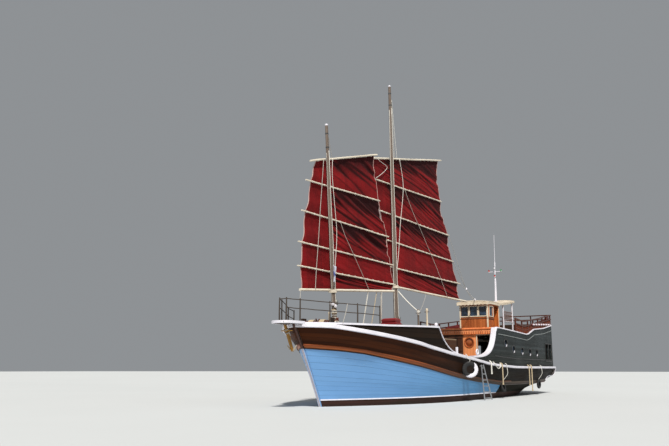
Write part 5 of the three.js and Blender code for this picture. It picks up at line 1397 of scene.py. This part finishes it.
# ropes over the sails: kind, half thickness, the spars at the two ends, and the points (x, z) in the sail's frame;
# halyards: drop below the masthead, then places along the yard with half thickness; falls: turn round the mast, kind
ropes = {
    "steps": 26,
    "onSail": {
        "fore": {"hauler": ["greyRope", 0.013, "yard", "boom",
                            [(0.13, 10.13), (0.31, 8.94), (0.48, 7.91), (0.66, 6.73), (0.86, 5.57), (1.01, 4.75)]],
                 "downhaul": ["greyRope", 0.011, "batten_2", "boom",
                              [(-0.87, 7.62), (-1.17, 7.01), (-1.58, 6.42), (-2.37, 5.26), (-2.72, 4.74)]],
                 "lazyline": ["whiteRope", 0.012, "yard", "boom",
                              [(-0.49, 10.27), (-0.44, 9.59), (-0.52, 8.3), (-0.58, 7.44), (-0.56, 6.8), (-0.39, 5.73), (-0.30, 4.75)]]},
        "main": {"hauler": ["whiteRope", 0.013, "yard", "boom",
                            [(-1.0, 11.73), (-1.29, 10.72), (-1.26, 9.95), (-0.92, 8.44), (-0.66, 6.92), (-0.44, 6.03), (-0.32, 5.38)]],
                 "downhaul": ["greyRope", 0.012, "batten_1", "boom",
                              [(-1.43, 10.30), (-2.15, 9.26), (-2.94, 8.38), (-3.76, 7.42), (-4.59, 6.44), (-5.56, 5.06)]],
                 "parrel": ["whiteRope", 0.011, "yard", "batten_1",
                            [(1.14, 11.35), (0.62, 11.25), (0.16, 11.10), (0.62, 10.72), (1.28, 10.36)]]},
    },
    "halyards": {"fore": (0.42, [(-0.16, 0.012), (-0.34, 0.010), (-0.52, 0.010)]),
                 "main": (0.55, [(-0.20, 0.015), (-0.40, 0.013), (-0.62, 0.013), (-0.84, 0.011)])},
    "falls": {"fore": [(78, "whiteRope"), (-8, "greyRope"), (172, "whiteRope")],
              "main": [(85, "whiteRope"), (-5, "whiteRope"), (165, "greyRope")]},
}


def addRope(name, points, radius, coat, body="root", slot="mast_wood", sag=0.0, steps=None):
    line = smoothPath(points, max(2, round((steps or ropes["steps"]) / (len(points) - 1))))
    for i, p in enumerate(line):
        t = i / (len(line) - 1)
        p.z -= sag * 4 * t * (1 - t)
    work = Bench()
    work.tube(line, radius, 8)
    piece = work.set(name, coat, body, slot, sharp=None)
    return piece, line


def ropesOnSails():
    for key, group in ropes["onSail"].items():
        rig = rigs[key]
        frameAt = rigFrame(rig)
        spars = {spar[0]: spar for spar in rig["spars"]}
        for name, (coat, radius, first, last, spots) in group.items():
            points = []
            for i, (x, z) in enumerate(spots):
                held = first if i == 0 else last if i == len(spots) - 1 else "batten_1"
                axis, own = sparAxis(rig, held)
                if i in (0, len(spots) - 1):
                    z = sparPoint(spars[held], x)
                points.append(frameAt @ vec(x, axis + own + radius * 0.9, z))
            addRope(f"{key}_{name}", points, radius, coat, rig["body"], "sail_cloth")


def halyardParts():
    for key, (drop, parts) in ropes["halyards"].items():
        rig = rigs[key]
        frameAt = rigFrame(rig)
        yard = rig["spars"][0]
        for n, (x, radius) in enumerate(parts):
            z = rig["mast"][1] - drop - 0.05 * n
            reach = mastRadius(rig, z) + radius * 1.7
            y, own = sparAxis(rig, "yard")
            start = frameAt @ vec(-reach * math.cos(0.5 * n - 0.6), reach * math.sin(0.5 * n - 0.6), z)
            end = frameAt @ vec(x, y, sparPoint(yard, x) + own + radius * 0.6)
            addRope(f"{key}_halyard_{n + 1}", [start, start.lerp(end, 0.5), end], radius, "whiteRope" if n % 2 else "greyRope",
                    rig["body"], sag=0.01)


def mastFalls():
    # falls that come down the mast, close in so that the swinging sail clears them
    for key, parts in ropes["falls"].items():
        rig = rigs[key]
        for n, (turn, coat) in enumerate(parts):
            points = []
            for i, z in enumerate(spaced(rig["mast"][1] - 1.1 - 0.1 * n, mastGear["feet"][key][1] + 0.02, 8)):
                way = pointing(math.radians(turn + 5 * math.sin(i * 1.7 + n)))
                points.append(mastSpot(rig, z) + way * (mastRadius(rig, z) + 0.013))
            addRope(f"{key}_fall_{n + 1}", points, 0.011, coat)


ropesOnSails()
halyardParts()
mastFalls()
print("running rigging rove")

# deck gear forward: posts for the sheets, lashings on the anchor, turns on the windlass, battens on the hatch lid
# and a black sheet under it, painted shade for the dark hold
deckGear = {
    "posts": [(4.70, 1.45, 4.12), (4.02, 1.55, 4.20)], "post": 0.045, "deck": 2.78,
    "barrel": {"x": 10.7, "z": 3.20, "radius": 0.15},
    "hatch": {"fore": 7.7, "aft": 6.7, "half": 0.45, "top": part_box("fore_hatch")[1].z - 0.035, "well": 3.0},
    "stanchion": (10.02, 0.12, 3.72),
    "anchor": [(12.78, 2.92), (12.72, 2.80)],
}


def makeDeckGear():
    work = Bench()
    for n, (x, y, top) in enumerate(deckGear["posts"]):
        r = deckGear["post"]
        turned = [(0, 0.05), (0.03, 0.05), (0.05, 0.01), (0.5, 0), (0.9, -0.006), (0.93, 0.014), (0.98, 0.014), (1, -0.01)]
        work.lathe((x, y, deckGear["deck"] - 0.003), (x, y, top), [(t, r + more) for t, more in turned], 14, coat=n)
        crossPin = [(0, 0.012), (0.1, 0.018), (0.5, 0.018), (0.9, 0.018), (1, 0.012)]
        work.lathe((x, y - 0.13, top - 0.16), (x, y + 0.13, top - 0.16), crossPin, 10)
    x, y, top = deckGear["stanchion"]
    turned = [(0, 0.07), (0.04, 0.07), (0.06, 0.05), (0.9, 0.045), (0.94, 0.06), (1, 0.05)]
    work.lathe((x, y, deckGear["deck"] - 0.003), (x, y, top), turned, 14, coat=1)
    work.set("sheet_posts", ["mastWood", "creamTrim"], slot="varnished_wood")
    work = Bench()
    chance = random.Random(3)
    for x, z in deckGear["anchor"]:
        for k in range(3):
            work.ring((x - 0.008 * k, 0, z - 0.018 * k), (0.43, 0, 0.9), 0.080, 0.009, 20, 6, coat=int(chance.random() < 0.5))
    work.set("anchor_lashings", ["greyRope", "tanRope"], slot="mast_wood")
    barrel = deckGear["barrel"]
    work = Bench()
    for side in (1, -1):
        for k in range(7):
            work.ring((barrel["x"], side * (0.16 + 0.034 * k), barrel["z"]), (0, 1, 0), barrel["radius"] + 0.014, 0.016, 30, 6)
    work.set("windlass_turns", "tanRope", "windlass", "mast_wood")
    hatch = deckGear["hatch"]
    work = Bench()
    for i in range(7):
        x = hatch["aft"] + 0.06 + i * 0.135
        work.box((x, -hatch["half"] + 0.04, hatch["top"] - 0.004), (x + 0.12, hatch["half"] - 0.04, hatch["top"] + 0.010), 0.006)
    work.set("hatch_battens", "deckBoards", "hatch_lid", "deck_boards")
    # painted shade: a black sheet inside the hatch opening stands for the dark hold
    work = Bench()
    work.box((hatch["aft"] + 0.12, -hatch["half"] + 0.12, hatch["well"] - 0.01),
             (hatch["fore"] - 0.12, hatch["half"] - 0.12, hatch["well"] + 0.002), 0.001)
    work.set("hatch_shade_sheet", "blackTrim", slot="dark_timber")


makeDeckGear()


# free ropes about the deck; some hang between the hull and a swinging sail
def sailSpot(key, spar, x, under=0.0):
    rig = rigs[key]
    row = {s[0]: s for s in rig["spars"]}[spar]
    y, own = sparAxis(rig, spar)
    return rigFrame(rig) @ vec(x, y, sparPoint(row, x) - under * own)


def sheetRope(name, start, end, radius, coat, sag):
    points = [start, start.lerp(end, 0.33), start.lerp(end, 0.66), end]
    piece, line = addRope(name, points, radius, coat, None, sag=sag)
    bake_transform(piece)


sheets = {
    "fore": [("fore_sheet_1", -2.70, (6.74, -0.38, 2.79), 0.028, "whiteRope", 0.05),
             ("fore_sheet_2", -3.36, (6.49, -0.10, 2.79), 0.016, "tanRope", 0.05),
             ("fore_sheet_3", -3.73, (5.02, -0.33, 2.79), 0.042, "whiteRope", 0.0)],
    "tack": (1.86, (12.5, 0.42, 3.99)), "stay": (4.12, 0.14, 5.06), "preventer": -3.32, "roof": (-5.045, 0.2),
    "euphroe": (-7.98, -0.2, 5.63), "legs": [("batten_2", -6.16), ("batten_3", -6.53), ("batten_4", -7.22)],
    "block": [(0, 0.018), (0.15, 0.042), (0.5, 0.05), (0.85, 0.042), (1, 0.018)],
    "roofBlock": [(0, 0.03), (0.2, 0.055), (0.6, 0.062), (0.9, 0.045), (1, 0.016)],
}


def knotAt(name, spot, size, coat):
    work = Bench()
    for k, turn in enumerate(((0, 0, 1), (0.5, 0.3, 1), (-0.4, 0.5, 1))):
        work.ring(Vector(spot) + vec(0, 0, (k - 1) * size * 0.55), turn, size * 0.55, size * 0.42, 14, 7)
    return work.set(name, coat, slot="mast_wood")


def wrapsAt(name, spot, radius, rope, coat, count=5):
    work = Bench()
    for k in range(count):
        work.ring(Vector(spot) + vec(0, 0, (k - count / 2) * rope * 2), (0.04, 0.03, 1), radius + rope, rope, 22, 6)
    return work.set(name, coat, slot="mast_wood")


def makeSheets():
    for name, x, end, radius, coat, sag in sheets["fore"]:
        sheetRope(name, sailSpot("fore", "boom", x, 1.1), Vector(end), radius, coat, sag)
    x, end = sheets["tack"]
    sheetRope("fore_tack", sailSpot("fore", "boom", x, 0.9), Vector(end), 0.011, "greyRope", 0.03)
    # two ropes meet at the after post
    px, py, top = deckGear["posts"][0]
    head = vec(px + 0.02, py - 0.02, top - 0.07)
    wraps = wrapsAt("post_turns", (px, py, top - 0.09), deckGear["post"], 0.012, "whiteRope")
    mastSide = Vector(sheets["stay"])
    addRope("mast_stay", [mastSide, mastSide.lerp(head, 0.5), head], 0.026, "whiteRope", sag=0.05)
    second = wrapsAt("post_turns_low", (px, py, top - 0.22), deckGear["post"], 0.010, "greyRope", 4)
    sheetRope("main_preventer", sailSpot("main", "boom", sheets["preventer"], 1.0), vec(px, py, top - 0.2), 0.010, "greyRope",
              0.12)
    # mainsheet: three legs from the batten ends, a wooden block, and a fall to the wheelhouse roof
    block = rigFrame(rigs["main"]) @ Vector(sheets["euphroe"])
    x, y = sheets["roof"]
    roofSpot = vec(x, y, house["roof"][0][1] + 0.06 + 0.07 * (1 - (y / house["roofHalf"]) ** 2))
    work = Bench()
    work.lathe(block + vec(0.03, 0, -0.07), block + vec(-0.03, 0, 0.07), sheets["block"], 14)
    euphroe = work.set("mainsheet_block", "whiteTrim", "mainsail", "mast_wood")
    work = Bench()
    work.lathe(roofSpot + vec(0, 0, -0.02), roofSpot + vec(0.03, 0, 0.10), sheets["roofBlock"], 14)
    roofBlock = work.set("roof_block", "whiteTrim", slot="mast_wood")
    for n, lift in enumerate((0.0, 0.05)):
        start = roofSpot + vec(0.01, 0.03 - 0.06 * n, 0.01)
        end = block + vec(0, 0.014 - 0.028 * n, -0.05)
        piece, line = addRope(f"mainsheet_{n + 1}", [start, start.lerp(end, 0.5), end], 0.011, "whiteRope", None, sag=0.03 + lift)
        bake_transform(piece)
    for n, (spar, x) in enumerate(sheets["legs"]):
        start = sailSpot("main", spar, x)
        end = block + vec(0, 0.012 * (n - 1), -0.03 + 0.012 * n)
        addRope(f"sheet_leg_{n + 1}", [start, start.lerp(end, 0.5), end], 0.009, "greyRope", "mainsail", sag=0.04)


makeSheets()
print("sheets rigged")

# ropes over the side: x, lower end, half thickness, kind; tyres: x, facing, thickness, radius, painted;
# a tyre without a radius takes half the height of its part's box
overside = {
    "bits": [("side_rope_1", 0.20, 1.25, 0.034, "whiteRope"), ("side_rope_2", -1.30, 0.72, 0.028, "tanRope"),
             ("side_rope_3", -5.75, 0.62, 0.026, "tanRope"), ("side_rope_4", -6.25, 0.30, 0.030, "tanRope")],
    "swag": (-0.25, -1.20, 0.30, 0.022), "strakeOut": 0.108,
    "tyres": [("fender_1", 3.11, (0.788, 0.616, 0.0), 0.15, None, True), ("fender_2", -1.96, (0, 0.970, 0.242), 0.12, 0.26, False),
              ("fender_3", -8.45, (0, 1, 0), 0.12, 0.26, False)],
    "bowBit": ((10.82, 3.93), (11.05, 3.18), 0.014),
}


def overStrake(x, low, far=None):
    # from inside the rail's edge, over the white strake and down
    y, z = sheerY(x), sheerZ(x)
    out = overside["strakeOut"]
    over = [(0.012, 0.10), (0.05, 0.085), (out, 0.02), (out + 0.003, -0.08)]
    return [vec(x, y + a, z + b) for a, b in over] + (far or [vec(x - 0.01, y + out + 0.004, low)])


def tyreProfile(radius, thick, share):
    # closed outline of the tyre's wall as (radius, across): outside first, then back along the inside
    half = thick / 2
    groove = 0.012 if share < 0.22 else 0.0
    outer = [(0.46, 0.62), (0.52, 0.86), (0.60, 0.95), (0.68, 0.99), (0.76, 1.0), (0.84, 0.96), (0.92, 0.88), (1.0, 0.5)]
    inner = [(0.93, 0.35), (0.86, 0.66), (0.72, 0.78), (0.58, 0.72), (0.51, 0.5)]
    rows = [(r * radius - (groove if r > 0.9 else 0), a * half) for r, a in outer]
    rows += [(radius * 1.0 - groove, 0.0)] + [(r, -a) for r, a in reversed(rows)]
    back = [(r * radius, -a * half) for r, a in reversed(inner)]
    return rows + back + [(0.945 * radius, 0.0)] + [(r, -a) for r, a in reversed(back)]


def makeTyre(name, facing, thick, radius, painted):
    low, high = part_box(name)
    centre = (low + high) / 2
    radius = radius or (high.z - low.z) / 2
    axis = Vector(facing).normalized()
    side = vec(0, 0, 1).cross(axis).normalized()
    up = axis.cross(side)
    steps = 120
    points, grain, coats = [], [], []
    for i, out in enumerate(spokes(side, up, steps)):
        shape = tyreProfile(radius, thick, (i / 5) % 1)
        # white paint on the wall, a crescent from the upper after side down round the foot
        lit = out.dot(side * 0.82 + vec(0, 0, -0.57))
        inner = radius * (1.0 - 0.52 * min(1, max(0, (lit + 0.12) * 1.6)))
        for k, (r, w) in enumerate(shape):
            points.append(centre + out * r + axis * w)
            grain.append((2 * math.pi * radius * i / steps, w * 3, r))
            coats.append(int(painted and lit > -0.12 and r > inner and w > -0.01 and k < len(shape) / 2))
    work = Bench()
    work.add(points, gridFaces(steps, len(shape), closed=True), grain, coats)
    work.set(name + "_tyre", ["rubber", "whiteTrim"], slot="tyre_rubber", sharp=40, replaces=[name])
    return centre, radius, up


def makeOverside():
    for name, x, *look in overside["tyres"]:
        centre, radius, up = makeTyre(name, *look)
        hold = centre + up * radius * 0.80
        top = centre + up * (radius + 0.012)
        y = max(top.y, sheerY(x) + overside["strakeOut"])
        bend = vec((x + top.x) / 2, y + 0.01, (sheerZ(x) - 0.08 + top.z) / 2)
        points = overStrake(x, 0, [bend, top + vec(0, 0.004, 0.0), hold + vec(0, 0, -0.02)])
        addRope(name + "_rope", points, 0.014, "whiteRope", steps=36)
    for name, x, low, radius, coat in overside["bits"]:
        tip = vec(x - 0.01, sheerY(x) + overside["strakeOut"] + 0.004, low)
        knot = knotAt(name + "_knot", tip, 0.045, coat)
        addRope(name, overStrake(x, low), radius, coat, steps=30)
    fore, aft, drop, radius = overside["swag"]
    points = []
    for t in spaced(0, 1, 8):
        x = fore + (aft - fore) * t
        out = 0.012 + (overside["strakeOut"] - 0.008) * min(1, math.sin(math.pi * t) * 3)
        points.append(vec(x, sheerY(x) + out, sheerZ(x) + 0.10 - drop * 4 * t * (1 - t)))
    addRope("side_swag", points, radius, "whiteRope", steps=36)
    (xa, za), (xb, zb), radius = overside["bowBit"]
    start, end = vec(xa, sheerY(xa) - 0.045, za), vec(xb, sheerY(xb) + 0.03, zb)
    addRope("rail_rope", [start, start.lerp(end, 0.4) + vec(0, 0.02, 0), end], radius, "greyRope")


makeOverside()
print("side ropes and tyres hung")

# cushions: one of three sewn pads on the foredeck bench and two loose ones, swelled by a short cloth simulation
cushion = {
    "cells": (14, 42), "inset": 0.022, "voxel": 0.016, "pressure": 3.2, "cap": 0.024, "steps": 18, "channel": 0.03, "corner": 0.06,
    "loose": [("loose_cushion_1", (5.14, 0.02, 3.335), (5.78, 0.90, 3.52)),
              ("loose_cushion_2", (5.17, 0.05, 3.505), (5.76, 0.86, 3.69))],
}


def makeCushion(name, low, high, pads, node=None):
    inset = cushion["inset"]
    size = high - low
    across, along = cushion["cells"]
    box = bmesh.new()
    bmesh.ops.create_grid(box, x_segments=across, y_segments=along, size=0.5)
    bmesh.ops.solidify(box, geom=box.faces[:], thickness=1.0)
    for v in box.verts:
        v.co.z = -0.5 if v.co.z < -0.01 else 0.5
    for v in box.verts:
        u, w = v.co.x * 2, v.co.y * 2
        # crowned, with pulled-in corners and a channel between the pads
        crown = (1 - abs(u) ** 4) * (1 - abs(((w + 1) * pads / 2) % 1 * 2 - 1) ** 6)
        lift = 0.30 + 0.20 * crown if v.co.z > 0 else -0.5
        v.co = vec(low.x + size.x / 2 + u * (size.x / 2 - inset) * (1 - 0.02 * w ** 4),
                       low.y + size.y / 2 + w * (size.y / 2 - inset) * (1 - 0.02 * u ** 4),
                       low.z + 0.004 + (lift + 0.5) * (size.z - 0.012))
    data = bpy.data.meshes.new(name)
    box.to_mesh(data)
    box.free()
    pad = bpy.data.objects.new(name, data)
    put(pad)
    shape = pad.modifiers.new("remesh", "REMESH")
    shape.mode = "VOXEL"
    shape.voxel_size = cushion["voxel"]
    bakeModifiers(pad)
    before = [v.co.copy() for v in pad.data.vertices]
    cloth = pad.modifiers.new("cloth", "CLOTH")
    cloth.settings.use_pressure = True
    cloth.settings.uniform_pressure_force = cushion["pressure"]
    cloth.settings.effector_weights.gravity = 0
    cloth.settings.mass = 0.4
    for step in range(1, cushion["steps"] + 1):
        bpy.context.scene.frame_set(step)
    bakeModifiers(pad)
    bpy.context.scene.frame_set(1)
    for v, was in zip(pad.data.vertices, before):
        move = v.co - was
        if move.length > cushion["cap"]:
            v.co = was + move * (cushion["cap"] / move.length)
        v.co.z = max(low.z + 0.003, v.co.z)
    # the sewn channels come after the remesh
    for v in pad.data.vertices:
        w = (v.co.y - low.y) / size.y * pads
        near = abs(w - round(w)) / pads * size.y if 0.3 < w < pads - 0.3 else 9
        if v.co.z > low.z + 0.03:
            v.co.z -= 0.030 * math.exp(-(near / cushion["channel"]) ** 2)
    mark = pad.data.attributes.new("cloth", "FLOAT_VECTOR", "POINT")
    mark.data.foreach_set("vector", [c for v in pad.data.vertices for c in (v.co.x, v.co.y, 1.0)])
    pad.data.materials.append(paints["cushionCloth"])
    pad.data.polygons.foreach_set("use_smooth", [True] * len(pad.data.polygons))
    smooth = pad.modifiers.new("soft", "SUBSURF")
    smooth.levels = smooth.render_levels = 1
    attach(pad, "root")
    if node:
        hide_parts(node)
    # piping round the edge
    work = Bench()
    z = low.z + size.z * 0.5
    corner = cushion["corner"]
    xa, xb, ya, yb = low.x + corner, high.x - corner, low.y + corner, high.y - corner
    ring = []
    for x, y, first in ((xb, yb, 0), (xa, yb, 90), (xa, ya, 180), (xb, ya, 270)):
        ring += [vec(x, y, z) + pointing(math.radians(first + k * 15)) * (corner - 0.008) for k in range(7)]
    work.tube(ring, 0.008, 8, closed=True)
    work.set(name + "_piping", "redTrim", slot="cushion_cloth")


def bakeModifiers(piece):
    seen = piece.evaluated_get(bpy.context.evaluated_depsgraph_get())
    fresh = bpy.data.meshes.new_from_object(seen)
    old = piece.data
    piece.modifiers.clear()
    piece.data = fresh
    bpy.data.meshes.remove(old)


makeCushion("cushion_pad", *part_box("bench_cushion"), 3, "bench_cushion")
for name, low, high in cushion["loose"]:
    makeCushion(name, Vector(low), Vector(high), 1)
print("cushions sewn")

# pennant on the foremast, lamps on the signal pole
pennant = {"foot": 5.05, "head": 5.68, "long": 0.36, "turn": 50, "thick": 0.003, "across": 26, "down": 34}
lamps = {"x": -8.895, "foot": 7.0, "size": 0.055,
         "spots": [(0, -0.39, 7.40), (0, 0.39, 7.40), (0.07, 0.0, 7.56), (0.07, 0.0, 7.06)]}


def makePennant():
    rig = rigs["fore"]
    points, grain = [], []
    wide, down = pennant["across"], pennant["down"]
    turn = math.radians(pennant["turn"])
    for v in spaced(0, 1, down):
        z = pennant["head"] + (pennant["foot"] - pennant["head"]) * v
        reach = mastRadius(rig, z) + 0.022
        for u in spaced(0, 1, wide):
            # it hangs from its upper corner, so the free edge droops and folds in
            out = reach + u * pennant["long"] * (0.55 + 0.2 * (1 - v))
            swing = turn + 0.16 * math.sin(u * 9 + v * 3) * u + 0.08 * math.sin(u * 17 - v * 5) * u
            points.append(mastSpot(rig, z - 0.10 * u * u) + pointing(swing) * out)
            grain.append((u * 0.4, v * 0.6, 0.20 if 0.36 < v < 0.64 else 1.0))
    work = Bench()
    work.add(points, gridFaces(down + 1, wide + 1, joined=False), grain)
    flag = work.set("pennant", "flagCloth", slot="sail_cloth", sharp=None, grainName="cloth")
    thicken(flag, pennant["thick"])


def makeLamps():
    work = Bench()
    size = lamps["size"]
    for n, (ahead, y, z) in enumerate(lamps["spots"]):
        x = lamps["x"] + ahead
        work.lathe((x, y, z - 0.01), (x, y, z + 0.16), [(0, size * 0.8), (0.12, size), (0.2, size * 0.9)], 16, coat=3)
        lens = [(0, size * 0.78), (0.3, size * 0.85), (0.7, size * 0.85), (1, size * 0.78)]
        work.lathe((x, y, z + 0.02), (x, y, z + 0.12), lens, 16, coat=n % 3)
        work.lathe((x, y, z + 0.12), (x, y, z + 0.17), [(0, size), (0.4, size), (0.8, size * 0.5), (1, size * 0.15)], 16, coat=3)
    sleeve = [(0, 0.085), (0.02, 0.085), (0.03, 0.058), (0.97, 0.050), (1, 0.04)]
    work.lathe((lamps["x"], 0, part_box("signal_pole")[0].z + 0.02), (lamps["x"], 0, lamps["foot"]), sleeve, 16, coat=2)
    work.set("pole_lamps", ["redLamp", "greenLamp", "whiteTrim", "galvanised"], slot="white_paint")


makePennant()
makeLamps()
print("pennant and lamps hung")

# finish for each carried-over node
sparNames = [key + "_" + spar[0] for key in rigs for spar in rigs[key]["spars"]]


def bothSides(*names):
    return [name + side for name in names for side in ("_port", "_starboard")]


nodeFinish = {
    "hullWood": ["hull"], "bottom": ["keel", "rudder"], "stemWood": ["stem_post"],
    "deckBoards": ["main_deck", "upper_deck", "fore_hatch"], "breakWood": ["foredeck"],
    "whitePaint": ["cap_rail", "bow_platform", "signal_pole"] + bothSides("bollard", "awning_frame"),
    "darkRail": ["bow_railing"], "anchorWood": ["wooden_anchor"], "darkTimber": ["windlass_frame", "foremast", "mainmast"],
    "mahogany": ["windlass_drum", "deck_bench", "helm", "helm_stand", "cabin_door"] + bothSides("poop_railing"),
    "bulwark": bothSides("bulwark"), "slate": bothSides("castle_side"), "bulkheadBoards": ["front_bulkhead"],
    "orangeBoards": ["wheelhouse_front", "wheelhouse_back"], "orangeSide": ["wheelhouse_door"] + bothSides("wheelhouse"),
    "darkBoards": ["transom"], "creamBoards": ["wheelhouse_roof"], "greyTube": ["boarding_ladder"],
    "bronze": ["propeller"], "engineGreen": ["engine"], "rubberRow": ["fender_1", "fender_2", "fender_3"],
    "clothRow": ["bench_cushion", "fore_sail", "main_sail"], "poleRow": sparNames,
}


def finishNodes():
    done = [(name, coat) for coat, names in nodeFinish.items() for name in names if name in nodes]
    for name, coat in done:
        for slot in nodes[name].material_slots:
            slot.material = paints[coat]
    print("nodes finished:", len(done), "left:", sorted(set(nodes) - {name for name, _ in done}))


finishNodes()

floorData = bpy.data.meshes.new("floor")
floorData.from_pydata([(-400, -400, 0), (400, -400, 0), (400, 400, 0), (-400, 400, 0)], [], [(0, 1, 2, 3)])
floorData.materials.append(paints["stage"])
floor = bpy.data.objects.new("floor", floorData)
put(floor)
